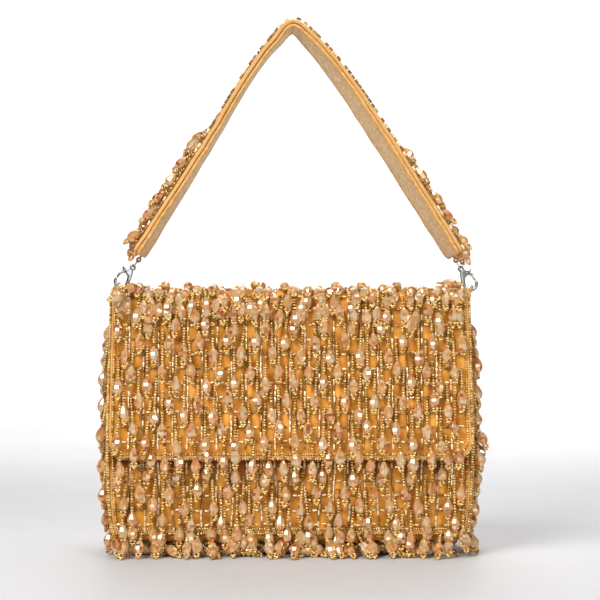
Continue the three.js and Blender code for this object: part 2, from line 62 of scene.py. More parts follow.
# Studio. A sweep of white paper runs under the bag and up behind it. A bright square lamp above the camera's
# left shoulder makes the white sparks on the cut glass, a small lamp and two pale cards fill in from the
# front, and two wide lamps light the paper from above.
SWEEP_HALF_WIDTH, SWEEP_NEAR, SWEEP_BEND, SWEEP_RADIUS, SWEEP_TOP = 1.35, -2.2, 0.75, 0.8, 3.2
BEND_STEPS = 25
PAPER_SPECKLE = 9, (0.63, 0.63, 0.64), (0.66, 0.66, 0.665)  # grains to a metre, dark tone and light tone
LAMPS = {  # place, what it faces, width, spread in degrees and power
    "key": ((-0.7, -1.1, 1.1), (0, 0, 0.12), 0.85, 60, 3.6),
    "fill": ((0.9, -1.2, 0.6), (0, 0, 0.1), 0.3, 60, 0.8),
    "card": ((0.75, -1.9, 0.4), (0, 0, 0.1), 1.3, 180, 3.6),
    "front_card": ((-0.03, -1.9, 0.2), (0, 0, 0.15), 0.5, 180, 2.0),
    "overhead": ((0.35, 0.2, 1.6), (0.1, 0.1, 0), 1.1, 180, 8),
    "backdrop": ((0, 0.45, 1.85), (0, 1.55, 1.45), 1.6, 130, 52),
}
ROOM_COLOUR, ROOM_STRENGTH = (1.0, 0.92, 0.80, 1), 0.09


def make_mesh(name, points, face_groups, finish, tones=None):
    """An object from an array of points and groups of faces, each an array of corners with a smooth flag. Its
    tones are numbers that its finish reads, one for each point or one for each face."""
    mesh = bpy.data.meshes.new(name)
    corners = np.concatenate([group.ravel() for group, _ in face_groups]).astype(np.int32)
    sizes = np.concatenate([np.full(len(group), group.shape[1]) for group, _ in face_groups])
    smooth = np.concatenate([np.full(len(group), flag) for group, flag in face_groups])
    mesh.vertices.add(len(points))
    mesh.vertices.foreach_set("co", np.asarray(points, np.float32).ravel())
    mesh.loops.add(len(corners))
    mesh.loops.foreach_set("vertex_index", corners)
    mesh.polygons.add(len(sizes))
    mesh.polygons.foreach_set("loop_start", (np.cumsum(sizes) - sizes).astype(np.int32))
    mesh.polygons.foreach_set("use_smooth", smooth.astype(bool))
    if tones is not None:
        domain = "POINT" if len(tones) == len(points) else "FACE"
        mesh.attributes.new("tone", "FLOAT", domain).data.foreach_set("value", np.asarray(tones, np.float32))
    mesh.update(calc_edges=True)
    mesh.validate()
    mesh.materials.append(finish)
    made = bpy.data.objects.new(name, mesh)
    bpy.context.scene.collection.objects.link(made)
    return made


def grid_faces(rows, columns):
    """Corners of the quads of a grid of points, row by row."""
    first = (np.arange(rows - 1)[:, None] * columns + np.arange(columns - 1)).ravel()
    return np.stack([first, first + 1, first + columns + 1, first + columns], axis=1)


def set_sockets(node, sockets):
    for socket, value in sockets.items():
        node.inputs[socket.replace("_", " ")].default_value = value


def new_finish(name, **sockets):
    """A material with its shader's constant sockets set, then its nodes, a function that links two sockets, a
    socket that gives the place on the object, and the shader."""
    finish = bpy.data.materials.new(name)
    finish.use_nodes = True
    nodes = finish.node_tree.nodes
    shader = nodes["Principled BSDF"]
    set_sockets(shader, sockets)
    place = nodes.new("ShaderNodeTexCoord").outputs["Object"]
    return finish, nodes, finish.node_tree.links.new, place, shader


def add_node(nodes, kind, **sockets):
    node = nodes.new("ShaderNode" + kind)
    set_sockets(node, sockets)
    return node


def ramped(nodes, link, number, *stops):
    """A colour picked by a number, from stops that are each a position and a colour."""
    ramp = nodes.new("ShaderNodeValToRGB")
    for spare in range(len(stops) - 2):
        ramp.color_ramp.elements.new(0.5)
    for element, (position, colour) in zip(ramp.color_ramp.elements, stops):
        element.position = position
        element.color = (*colour, 1)
    link(number, ramp.inputs["Fac"])
    return ramp.outputs["Color"]


def speckle(nodes, link, place, grain, dark, light):
    """A colour that wanders between two tones, by a noise with that many grains to a metre."""
    noise = add_node(nodes, "TexNoise", Scale=grain, Detail=4)
    link(place, noise.inputs["Vector"])
    return ramped(nodes, link, noise.outputs["Fac"], (0.3, dark), (0.7, light))


paper, nodes, link, place, shader = new_finish("white_paper", Roughness=0.55)
link(speckle(nodes, link, place, *PAPER_SPECKLE), shader.inputs["Base Color"])
bend = np.linspace(0, math.pi / 2, BEND_STEPS)
sweep_profile = np.concatenate([
    [(SWEEP_NEAR, 0)],
    np.stack([SWEEP_BEND + SWEEP_RADIUS * np.sin(bend), SWEEP_RADIUS * (1 - np.cos(bend))], axis=1),
    [(SWEEP_BEND + SWEEP_RADIUS, SWEEP_TOP)],
])
sweep_points = np.array([(x, y, z) for y, z in sweep_profile for x in (-SWEEP_HALF_WIDTH, SWEEP_HALF_WIDTH)])
sweep = make_mesh("paper_sweep", sweep_points, [(grid_faces(len(sweep_profile), 2), True)], paper)

for lamp_name, (lamp_place, lamp_target, lamp_width, lamp_spread, lamp_power) in LAMPS.items():
    lamp = bpy.data.objects.new(lamp_name, bpy.data.lights.new(lamp_name, "AREA"))
    lamp.data.size = lamp_width
    lamp.data.spread = math.radians(lamp_spread)
    lamp.data.energy = lamp_power
    lamp.location = lamp_place
    facing = Vector(lamp_target) - Vector(lamp_place)
    lamp.rotation_euler = facing.to_track_quat("-Z", "Y").to_euler()
    bpy.context.scene.collection.objects.link(lamp)
world = bpy.context.scene.world or bpy.data.worlds.new("studio")
bpy.context.scene.world = world
world.use_nodes = True
set_sockets(world.node_tree.nodes["Background"], {"Color": ROOM_COLOUR, "Strength": ROOM_STRENGTH})

# Cloth body. Four walls and a base of golden satin over thin padding, stitched down along the bead net so
# that each of its cells stands up a little. Plain edges are turned in and sewn together. The gold is paler on
# the bare strip along each edge. Everywhere but the plain back, where it is calmer, it wanders into random
# dark patches of painted shade, and a painted shadow darkens the front just under the flap's hem.
WALL = 3 * MM
BODY_SECTIONS = MM * np.array([  # height, half width, half depth
    (13.5, 107.5, 31.0), (32.0, 109.5, 32.5), (62.0, 110.5, 31.5),
    (95.0, 110.5, 29.0), (128.0, 109.5, 25.5), (152.0, 108.0, 22.0),
])
BODY_BOTTOM, MOUTH = BODY_SECTIONS[0, 0], BODY_SECTIONS[-1, 0]
BODY_DROP = MOUTH - BODY_BOTTOM
FRONT_BELLY = 2.5 * MM
GUSSET_HOLLOW = 2 * MM
SEAM_INSET = 3.3 * MM
NET_PITCH = 8.82 * MM
GRID_STEP = NET_PITCH / 4
PUFF = 0.9 * MM
CELL_FULLNESS = 0.6  # exponent of a cell's rise, where less is fuller
STITCH_SINK, STRIP_RISE = 0.35, 0.6  # shares of the puff
PLAIN_EDGE, PADDING_RUN = 5 * MM, 3 * MM
EDGE_STRIP, EDGE_STRIP_REACH = 2.1 * MM, 1.3 * MM
EDGE_ROLL = 1.2 * MM
BORDER_LINES = np.array([0, 0.1, 0.4, 1.2, 1.9, 2.6, 3.3, 4.0, 5.0]) * MM
FLAP_HEM_Z = 58.9 * MM
# Painted shadow of the flap's hem: the front's gold is darkened between these two heights, most just under
# the hem.
HEM_SHADOW_HEIGHTS = (FLAP_HEM_Z - 11 * MM, FLAP_HEM_Z - 2 * MM)
# Gold of the beaded faces: its dark tone is painted shade, standing in for the shadows between the bead
# strings and spread in random patches; the light tone is the satin's own.
GOLD_WITH_PAINTED_SHADE = (0.35, 0.11, 0.002), (0.92, 0.41, 0.06)
# Gold of the plain back: calmer tones, without the deep painted shade.
CALM_GOLD = (0.56, 0.21, 0.016), (0.78, 0.33, 0.04)
STRIP_GOLD = (0.74, 0.41, 0.14, 1)
# The colour that the painted hem shadow multiplies the front's gold towards.
PAINTED_SHADE_GOLD = (0.36, 0.2, 0.08, 1)
SATIN_GRAIN = 110
SATIN_WEAVE = 0.55 * MM, 0.12 * MM  # thread and depth
PROBE = 0.2 * MM  # small step that finds the direction of a wall or a line
base_low, base_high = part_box("base_panel")
MIDDLE_Y = (base_low.y + base_high.y) / 2


def half_width(z):
    return np.interp(z, BODY_SECTIONS[:, 0], BODY_SECTIONS[:, 1])


def half_depth(z):
    return np.interp(z, BODY_SECTIONS[:, 0], BODY_SECTIONS[:, 2])


def points_at(x, y, z):
    return np.stack(np.broadcast_arrays(x, y, z), axis=-1)


def unit(vectors):
    return vectors / np.linalg.norm(vectors, axis=-1, keepdims=True)


def hung_from(v, wall_length):
    """The place along a wall of that length, and how far past its lower edge a string hangs free."""
    return np.clip(v, 0, wall_length), np.maximum(0, v - wall_length)


def front_at(u, v):
    """Front wall: u runs to the right, v down from the mouth, and both may be arrays."""
    along, free = hung_from(v, BODY_DROP)
    z = MOUTH - along
    swell = FRONT_BELLY * np.sin(math.pi * (z - BODY_BOTTOM) / BODY_DROP) * (1 - (u / half_width(z)) ** 2)
    return points_at(u, MIDDLE_Y - half_depth(z) - swell, z - free)


def back_at(u, v):
    """Back wall, seen from behind."""
    along, free = hung_from(v, BODY_DROP)
    z = MOUTH - along
    return points_at(-u, MIDDLE_Y + half_depth(z), z - free)


def side_at(hand):
    """One side wall, seen from outside; hand is -1 on the left and 1 on the right."""
    def at(u, v):
        along, free = hung_from(v, BODY_DROP)
        z = MOUTH - along
        rise = (z - BODY_BOTTOM) / BODY_DROP
        hollow = GUSSET_HOLLOW * np.maximum(0, 2 * rise - 1) * (1 - (u / half_depth(z)) ** 2)
        return points_at(hand * (half_width(z) - hollow), MIDDLE_Y + hand * u, z - free)
    return at


def base_at(u, v):
    """Underside of the base, seen from below with the front edge up."""
    return points_at(u, base_low.y + v, base_low.z)


def lift(at, u, v, off):
    """Points off a wall by a distance along its outward normal."""
    u, v, off = np.broadcast_arrays(np.asarray(u, float), np.asarray(v, float), np.asarray(off, float))
    down = at(u, v + PROBE) - at(u, v - PROBE)
    across = at(u + PROBE, v) - at(u - PROBE, v)
    return at(u, v) + off[..., None] * unit(np.cross(down, across))


def edge_lines(half, step):
    """Places from one edge to the other, close together where the cloth rolls over its edges."""
    inside = half - BORDER_LINES[-1]
    middle = np.linspace(-inside, inside, max(3, round(2 * half / step)))
    return np.concatenate([BORDER_LINES[:-1] - half, middle, (half - BORDER_LINES[:-1])[::-1]])


def edge_strip(edge):
    """How far a place belongs to the bare strip along an edge, by its distance from that edge."""
    return np.clip(1 - np.abs(edge - EDGE_STRIP) / EDGE_STRIP_REACH, 0, 1)


def puffed(u, v, edge):
    """How far the padding stands up at a place of the net, given its distance from the nearest edge."""
    cell = np.abs(np.sin(math.pi * u / NET_PITCH) * np.sin(math.pi * v / NET_PITCH)) ** CELL_FULLNESS
    free = np.clip((edge - PLAIN_EDGE) / PADDING_RUN, 0, 1)
    return PUFF * (cell * free - STITCH_SINK * free + STRIP_RISE * edge_strip(edge))


def cloth_wall(name, at, half_at, half, length, thickness, finish, step):
    """A padded sheet on a wall. half_at gives its half width down it, of which half is the most."""
    rows = edge_lines(length / 2, step) + length / 2
    share = edge_lines(half, step) / half
    v = np.repeat(rows[:, None], len(share), axis=1)
    reach = half_at(rows)[:, None]
    u = share[None, :] * reach
    edge = np.minimum(reach - np.abs(u), np.minimum(v, length - v))
    roll = EDGE_ROLL - np.sqrt(np.maximum(0, EDGE_ROLL ** 2 - np.clip(EDGE_ROLL - edge, 0, EDGE_ROLL) ** 2))
    outer = lift(at, u, v, puffed(u, v, edge) - roll)
    inner = lift(at, u, v, roll - thickness)
    faces = grid_faces(*u.shape)
    index = np.arange(u.size).reshape(u.shape)
    rim = np.concatenate([index[0, :], index[1:, -1], index[-1, -2::-1], index[-2:0:-1, 0]])
    after = np.roll(rim, -1)
    sides = np.stack([rim, rim + u.size, after + u.size, after], axis=1)
    points = np.concatenate([outer.reshape(-1, 3), inner.reshape(-1, 3)])
    tones = np.concatenate([edge_strip(edge).ravel(), np.zeros(u.size)])
    groups = [(faces[:, ::-1], True), (faces + u.size, True), (sides, True)]
    return make_mesh(name, points, groups, finish, tones)


def raised(nodes, link, shader, height, strength, depth):
    """A bump of that depth on a surface, from a height."""
    bump = add_node(nodes, "Bump", Strength=strength, Distance=depth)
    link(height, bump.inputs["Height"])
    link(bump.outputs["Normal"], shader.inputs["Normal"])
    return bump


def weave(nodes, link, place, shader, thread, depth):
    """Fine crossing threads as a bump: two sets of ridges at right angles, each about one thread apart."""
    cross = nodes.new("ShaderNodeMath")
    cross.operation = "MAXIMUM"
    ridge_scale = 2 * math.pi / (20 * thread)  # at scale 1 the wave turns by 20 radians in a metre
    for direction, ridges in zip(("X", "Z"), cross.inputs):
        wave = add_node(nodes, "TexWave", Scale=ridge_scale, Distortion=1.5, Detail_Scale=1.5)
        wave.bands_direction = direction
        link(place, wave.inputs["Vector"])
        link(wave.outputs["Fac"], ridges)
    raised(nodes, link, shader, cross.outputs["Value"], strength=0.5, depth=depth)


def own_tone(nodes):
    """The tones that a mesh carries, as a socket."""
    tone = nodes.new("ShaderNodeAttribute")
    tone.attribute_name = "tone"
    return tone.outputs["Fac"]


def painted_shade(nodes, link, place, colour, low, high):
    """A colour darkened by a painted shade from one height to another, as where gold cloth is lit only by
    gold cloth.
    """
    height = nodes.new("ShaderNodeSeparateXYZ")
    link(place, height.inputs["Vector"])
    rise = add_node(nodes, "MapRange", From_Min=low, From_Max=high)
    link(height.outputs["Z"], rise.inputs["Value"])
    # Painted shade: the colour is multiplied towards a dark gold as the height rises.
    deep = add_node(nodes, "MixRGB", Color2=PAINTED_SHADE_GOLD)
    deep.blend_type = "MULTIPLY"
    link(rise.outputs["Result"], deep.inputs["Fac"])
    link(colour, deep.inputs["Color1"])
    return deep.outputs["Color"]


def golden_satin(name, dark, light, shaded=None):
    """Satin with a soft sheen and fine threads. Its gold wanders at random between two tones, is paler
    along its edges and, if two heights are given, is darkened between them by a painted shade."""
    finish, nodes, link, place, shader = new_finish(
        name, Roughness=0.5, Specular_IOR_Level=0.2,
        Sheen_Weight=0.35, Sheen_Roughness=0.4, Sheen_Tint=(1.0, 0.66, 0.22, 1),
    )
    paler = add_node(nodes, "MixRGB", Color2=STRIP_GOLD)
    link(own_tone(nodes), paler.inputs["Fac"])
    link(speckle(nodes, link, place, SATIN_GRAIN, dark, light), paler.inputs["Color1"])
    dye = paler.outputs["Color"]
    # A painted shadow between the two heights, if they are given.
    if shaded:
        dye = painted_shade(nodes, link, place, dye, *shaded)
    link(dye, shader.inputs["Base Color"])
    weave(nodes, link, place, shader, *SATIN_WEAVE)
    return finish


# Satin for the flap, sides and base, its dark patches painted shade.
satin = golden_satin("golden_satin", *GOLD_WITH_PAINTED_SHADE)
# The front's satin: the same painted shade in patches, and a painted shadow just under the flap's hem.
hem_shadowed_satin = golden_satin("front_golden_satin_painted_hem_shadow", *GOLD_WITH_PAINTED_SHADE, HEM_SHADOW_HEIGHTS)
# The back's satin, calmer, without the painted shade.
calm_satin = golden_satin("flat_golden_satin", *CALM_GOLD)


def wall_half(v):
    return half_width(MOUTH - v)


def gusset_half(v):
    return half_depth(MOUTH - v) - SEAM_INSET


widest, deepest = BODY_SECTIONS[:, 1].max(), BODY_SECTIONS[:, 2].max() - SEAM_INSET
base_length, base_half = base_high.y - base_low.y, (base_high.x - base_low.x) / 2


def even_half(v):
    return np.full_like(v, base_half)


for panel, cloth, at, half_at, half, length, finish, step in (
    ("front_panel", "front_cloth", front_at, wall_half, widest, BODY_DROP, hem_shadowed_satin, GRID_STEP),
    ("back_panel", "back_cloth", back_at, wall_half, widest, BODY_DROP, calm_satin, GRID_STEP),
    ("gusset_left", "gusset_cloth_left", side_at(-1), gusset_half, deepest, BODY_DROP, satin, GRID_STEP),
    ("gusset_right", "gusset_cloth_right", side_at(1), gusset_half, deepest, BODY_DROP, satin, GRID_STEP),
    ("base_panel", "base_cloth", base_at, even_half, base_half, base_length, satin, 2 * GRID_STEP),
):
    wall = cloth_wall(cloth, at, half_at, half, length, WALL, finish, step)
    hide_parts(panel)
    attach(wall, "bag")

# Flap. One long padded sheet of the same satin, sewn to the top of the back wall, folded over the mouth and
# down the front nearly to two thirds of its height, with rounded lower corners.
FLAP_THICKNESS = 2.5 * MM
FLAP_TOP = 161 * MM
FLAP_HEM_Y = -39 * MM
FLAP_BACK_RADIUS, FLAP_FRONT_RADIUS = 8.7 * MM, 14 * MM
FLAP_FRONT_Y = -28.5 * MM
FLAP_BACK_HALF, FLAP_HEM_HALF = 108.5 * MM, 110.4 * MM
FLAP_CORNER = 12 * MM
FOLD_STEPS = 24


def runs_along(line):
    """The distance of each point of a line from its start."""
    return np.concatenate([[0], np.cumsum(np.linalg.norm(np.diff(line, axis=0), axis=1))])


def at_run(line, runs, run):
    """The places at some distances along a line of points whose own distances are runs."""
    return np.stack([np.interp(run, runs, column) for column in line.T], axis=-1)


arc = np.linspace(0, math.pi / 2, FOLD_STEPS)
flap_back_y = BODY_SECTIONS[-1, 2] - FLAP_BACK_RADIUS
flap_front_y = FLAP_FRONT_Y + FLAP_FRONT_RADIUS
back_fold = flap_back_y + FLAP_BACK_RADIUS * np.cos(arc), FLAP_TOP - FLAP_BACK_RADIUS * (1 - np.sin(arc))
front_fold = flap_front_y - FLAP_FRONT_RADIUS * np.sin(arc), FLAP_TOP - FLAP_FRONT_RADIUS * (1 - np.cos(arc))
flap_line = np.concatenate([np.transpose(back_fold), np.transpose(front_fold), [(FLAP_HEM_Y, FLAP_HEM_Z)]])
flap_runs = runs_along(flap_line)
FLAP_LENGTH = flap_runs[-1]
FLAP_ROLL_START = FLAP_BACK_RADIUS * math.pi / 2 + flap_back_y - flap_front_y


def flap_at(u, v):
    """Flap: u runs to the right, v from the back seam over the top and down to the hem."""
    along, free = hung_from(v, FLAP_LENGTH)
    y, z = np.moveaxis(at_run(flap_line, flap_runs, along), -1, 0)
    return points_at(u, MIDDLE_Y + y, z - free)


def flap_side(v):
    """Half width of the flap without its rounded corners."""
    return FLAP_BACK_HALF + (FLAP_HEM_HALF - FLAP_BACK_HALF) * v / FLAP_LENGTH


def flap_half(v):
    into = np.clip(v - (FLAP_LENGTH - FLAP_CORNER), 0, FLAP_CORNER)
    return flap_side(v) - FLAP_CORNER + np.sqrt(FLAP_CORNER ** 2 - into ** 2)


flap_cloth = cloth_wall(
    "flap_cloth", flap_at, flap_half, FLAP_HEM_HALF, FLAP_LENGTH, FLAP_THICKNESS, satin, GRID_STEP
)
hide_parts("flap")
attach(flap_cloth, "bag")

# Bead net. Silver-lined bugle beads are sewn down in upright strings a net cell apart, with short rungs of
# two bugles between them and out to the edging, over the flap, the walls and the sides.
chance = np.random.default_rng(20)
BUGLE_LENGTH, BUGLE_RADIUS = 3.25 * MM, 0.66 * MM
BUGLE_PITCH = 3.55 * MM
BUGLE_CLEAR = 0.09 * MM
# A share of the bugles painted dark, as if their silver lining caught no light.
BUGLE_PAINTED_DARK_SHARE = 0.35  # share of them that show dark
# Bugle colours run from near black to near white: the pale end is a painted glint of the silver lining.
BUGLE_GLINT_TONES = (
    (0.0, (0.08, 0.035, 0.006)), (0.4, (0.42, 0.22, 0.04)),
    (0.65, (1.0, 0.77, 0.36)), (1.0, (1.0, 0.94, 0.72)),
)
BUGLE_RIPPLE = 900, 0.05 * MM  # grains to a metre and depth
RUNG_LENGTH = 2.7 * MM
RUNG_ASIDE = 0.58 * RUNG_LENGTH
RUNG_KEPT = 0.92
SEWN_SPREAD, RUNG_SPREAD = 0.12 * MM, 0.35 * MM
SWAY_LENGTH, SWAY_SHIFT = 7 * MM, 40
# Tones of beads painted dark and of beads painted glinting, and how far each spreads.
PAINTED_DARK_TONE, PAINTED_GLINT_TONE, TONE_SPREAD = 0.15, 0.65, 0.35
# Cut drops get a tone for each facet, shifted from the drop's own and spread at random: painted flashes of
# light on the facets.
FACET_FLASH_SHIFT, FACET_FLASH_SPREAD = -0.3, 0.5
FLAP_NET_TOP, FRONT_NET_TOP = 4 * MM, MOUTH - 68 * MM
WALL_COLUMNS, SIDE_COLUMNS = 23, 5
NET_FOOT = BODY_DROP - 3 * MM
FRONT_SWAY, SIDE_SWAY = 0.7 * MM, 0.3 * MM


def row_of(count, pitch):
    """Places a pitch apart, the middle of the row at zero."""
    return (np.arange(count) - (count - 1) / 2) * pitch


def jitter(shape, reach):
    return chance.uniform(-reach, reach, shape)


def tube_faces(rings, around):
    """Quads round a row of closed rings, and its two ends."""
    index = np.arange(rings * around).reshape(rings, around)
    after = np.roll(index, -1, axis=1)
    walls = np.stack([index[:-1], after[:-1], after[1:], index[1:]], axis=-1).reshape(-1, 4)
    return walls, np.stack([index[0][::-1], index[-1]])


def turned(profile, sides, facets=False):
    """A bead turned about Z from (radius, height, shade) rows, with flat ends, smooth or in facets. The shade
    is a painted shade that scales its colour down, most towards its ends.
    """
    angles = 2 * math.pi * np.arange(sides) / sides
    radii, heights, painted_shades = np.array(profile, float).T
    points = points_at(radii[:, None] * np.cos(angles), radii[:, None] * np.sin(angles), heights[:, None])
    bands, ends = tube_faces(len(profile), sides)
    return points.reshape(-1, 3), [(bands, not facets), (ends, False)], np.repeat(painted_shades, sides)


def bead_mesh(name, bead, places, ways, widths, lengths, finish, dark_share=0.0, cut=False):
    """Copies of one bead as a single mesh: each at a place, along a way, scaled in width and in length. Each
    bead has a tone of its own, painted bright as a glint or, for a share of them, painted dark as if unlit,
    scaled down by its profile's painted shade; if it is cut, each of its facets has a tone of its own
    instead, a painted flash of light."""
    shape, groups, painted_shades = bead
    count, corners = len(places), len(shape)
    ways = unit(ways)
    aside = unit(np.cross(ways, np.where(np.abs(ways[:, 1:2]) < 0.9, [[0.0, 1.0, 0.0]], [[1.0, 0.0, 0.0]])))
    third = np.cross(ways, aside)
    roll = chance.uniform(0, 2 * math.pi, count)[:, None]
    first = aside * np.cos(roll) + third * np.sin(roll)
    second = np.cross(ways, first)
    widths, lengths = np.broadcast_to(widths, count), np.broadcast_to(lengths, count)
    points = (
        places[:, None, :]
        + (shape[None, :, 0] * widths[:, None])[..., None] * first[:, None, :]
        + (shape[None, :, 1] * widths[:, None])[..., None] * second[:, None, :]
        + (shape[None, :, 2] * lengths[:, None])[..., None] * ways[:, None, :]
    ).reshape(-1, 3)
    start = (np.arange(count) * corners)[:, None, None]
    faces = [((start + group[None]).reshape(-1, group.shape[1]), smooth) for group, smooth in groups]
    bright = np.where(chance.uniform(0, 1, count) < dark_share, PAINTED_DARK_TONE, PAINTED_GLINT_TONE)
    bright = bright + chance.uniform(0, TONE_SPREAD, count)
    tones = (bright[:, None] * painted_shades[None, :]).ravel()
    if cut:
        # Painted flashes of light: each facet a tone of its own.
        own = np.concatenate([np.repeat(bright, len(group)) for group, _ in groups])
        tones = np.clip(own + FACET_FLASH_SHIFT + jitter(len(own), FACET_FLASH_SPREAD), 0, 1)
    return make_mesh(name, points, faces, finish, tones)


def rippled(nodes, link, place, shader, grain, depth):
    """Slight unevenness of a polished surface, as a bump."""
    noise = add_node(nodes, "TexNoise", Scale=grain)
    link(place, noise.inputs["Vector"])
    return raised(nodes, link, shader, noise.outputs["Fac"], strength=0.4, depth=depth)


def bead_glass(name, tones, ripple, **sockets):
    """Glass in a colour picked by each bead's own tone, with the slight ripple of pressed glass."""
    glass, nodes, link, place, shader = new_finish(name, **sockets)
    link(ramped(nodes, link, own_tone(nodes), *tones), shader.inputs["Base Color"])
    rippled(nodes, link, place, shader, *ripple)
    return glass


bugle_glass = bead_glass(
    "silver_lined_bugle", BUGLE_GLINT_TONES, BUGLE_RIPPLE, Metallic=0.35, Roughness=0.15, Coat_Weight=0.6
)
# Bugle profile: its third column darkens the ends with painted shade, where beads meet.
bugle = turned([(0.8, -0.5, 0.2), (1, -0.44, 0.9), (1, 0.44, 1), (0.8, 0.5, 0.3)], 6)


def bead_net(name, at, half_at, top, bottom, columns, sway, radius=BUGLE_RADIUS, dark_share=BUGLE_PAINTED_DARK_SHARE):
    """Upright bugle strings and their rungs on one wall, between two places down it."""
    off = radius + BUGLE_CLEAR
    beads = np.arange(top, bottom - BUGLE_PITCH / 2, BUGLE_PITCH) + BUGLE_PITCH / 2
    u, v = (grid.ravel() for grid in np.meshgrid(row_of(columns, NET_PITCH), beads))
    swayed = u + sway * np.sin(v / SWAY_LENGTH + SWAY_SHIFT * u / NET_PITCH)
    u = swayed + chance.normal(0, SEWN_SPREAD, u.size)
    inside = np.abs(u) < half_at(v) - PLAIN_EDGE
    u, v = u[inside], v[inside]
    upright = lift(at, u, v + MM, off) - lift(at, u, v - MM, off)
    rows = np.arange(math.ceil(top / NET_PITCH), math.floor(bottom / NET_PITCH) + 1) * NET_PITCH
    ru, rv = (grid.ravel() for grid in np.meshgrid(row_of(columns + 1, NET_PITCH), rows))
    ru = np.concatenate([ru - RUNG_ASIDE, ru + RUNG_ASIDE])
    rv = np.concatenate([rv, rv]) + chance.normal(0, RUNG_SPREAD, ru.size)
    kept = (np.abs(ru) < half_at(rv) - PLAIN_EDGE) & (chance.uniform(0, 1, ru.size) < RUNG_KEPT)
    ru, rv = ru[kept], rv[kept]
    tilt = chance.normal(0, SEWN_SPREAD, ru.size)
    level = lift(at, ru + MM, rv + tilt, off) - lift(at, ru - MM, rv - tilt, off)
    places = np.concatenate([lift(at, u, v, off), lift(at, ru, rv, off)])
    lengths = np.concatenate([np.full(u.size, BUGLE_LENGTH), np.full(ru.size, RUNG_LENGTH)])
    ways = np.concatenate([upright, level])
    net = bead_mesh(name, bugle, places, ways, radius, lengths, bugle_glass, dark_share)
    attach(net, "bag")


bead_net("flap_net", flap_at, flap_half, FLAP_NET_TOP, FLAP_LENGTH - PLAIN_EDGE, WALL_COLUMNS, 0)
bead_net("front_net", front_at, wall_half, FRONT_NET_TOP, NET_FOOT, WALL_COLUMNS, FRONT_SWAY)
bead_net("back_net", back_at, wall_half, PLAIN_EDGE, BODY_DROP - PLAIN_EDGE, WALL_COLUMNS, 0)
for hand, side in ((-1, "left"), (1, "right")):
    bead_net(f"side_net_{side}", side_at(hand), gusset_half, PLAIN_EDGE, NET_FOOT, SIDE_COLUMNS, SIDE_SWAY)

# Edging. Two close rows of gold seed beads, with a strip of bare satin between them, are sewn round the flap
# and along the seams of every wall.
SEED_RADIUS = 0.92 * MM
SEED_SIZES = 0.9, 1.08  # least and most
SEED_PITCH = 1.5 * MM
# A share of the seeds painted dark, as if their gold lining caught no light.
SEED_PAINTED_DARK_SHARE = 0.3
SEED_RIPPLE = 700, 0.06 * MM
# Seed colours run up to a pale gold: the pale end is a painted glint of the gold lining.
SEED_GLINT_TONES = (0.0, (0.18, 0.07, 0.008)), (0.45, (0.74, 0.39, 0.06)), (1.0, (1.0, 0.79, 0.37))
EDGING_INSETS = (0.7 * MM, 3.5 * MM)
EDGING_LIFT = 0.55 * MM
EDGING_TOP = 2 * MM
LINE_STEPS, FLAP_LINE_STEPS, CORNER_STEPS = 60, 70, 12
# Seed profile: its third column darkens the ends with painted shade, where beads meet.
seed = turned([(0.5, -0.78, 0.0), (1.0, -0.36, 0.75), (1.0, 0.36, 1), (0.5, 0.78, 0.1)], 6)
seed_glass = bead_glass(
    "gold_lined_seed", SEED_GLINT_TONES, SEED_RIPPLE, Metallic=0.45, Roughness=0.16, Coat_Weight=0.45
)


def seeds_along(line):
    """Places and ways of seeds strung close along a line of points."""
    runs = runs_along(line)
    stops = np.arange(SEED_PITCH / 2, runs[-1], SEED_PITCH)
    return at_run(line, runs, stops), at_run(line, runs, stops + PROBE) - at_run(line, runs, stops - PROBE)


def edging(name, at, lines):
    """Rows of seeds sewn along lines of (u, v) places on a wall."""
    strung = [seeds_along(lift(at, u, v, EDGING_LIFT)) for u, v in lines]
    places = np.concatenate([place for place, _ in strung])
    ways = np.concatenate([way for _, way in strung])
    sizes = SEED_RADIUS * chance.uniform(*SEED_SIZES, len(places))
    made = bead_mesh(name, seed, places, ways, sizes, sizes, seed_glass, SEED_PAINTED_DARK_SHARE)
    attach(made, "bag")


def wall_border(half_at, top, length, inset):
    """Down one side of a wall, along its lower edge and up the other side, drawn in by an inset."""
    v = np.linspace(top, length - inset, LINE_STEPS)
    reach = half_at(v) - inset
    foot = np.linspace(-reach[-1], reach[-1], LINE_STEPS)
    low = np.full(LINE_STEPS, v[-1])
    return np.concatenate([-reach, foot, reach[::-1]]), np.concatenate([v, low, v[::-1]])


def flap_border(inset):
    """Round the free edges of the flap, with its rounded corners."""
    radius = FLAP_CORNER - inset
    v = np.linspace(MM, FLAP_LENGTH - FLAP_CORNER, FLAP_LINE_STEPS)
    turn = np.linspace(0, math.pi / 2, CORNER_STEPS)
    corner_u = flap_side(FLAP_LENGTH) - FLAP_CORNER + radius * np.cos(turn)
    corner_v = FLAP_LENGTH - FLAP_CORNER + radius * np.sin(turn)
    u = np.concatenate([flap_side(v) - inset, corner_u])
    v = np.concatenate([v, corner_v])
    return np.concatenate([-u, u[::-1]]), np.concatenate([v, v[::-1]])


edging("flap_edging", flap_at, [flap_border(inset) for inset in EDGING_INSETS])
for name, at, half_at, top in (
    ("front_edging", front_at, wall_half, FRONT_NET_TOP),
    ("back_edging", back_at, wall_half, EDGING_TOP),
    ("side_edging_left", side_at(-1), gusset_half, EDGING_TOP),
    ("side_edging_right", side_at(1), gusset_half, EDGING_TOP),
):
    edging(name, at, [wall_border(half_at, top, BODY_DROP, inset) for inset in EDGING_INSETS])

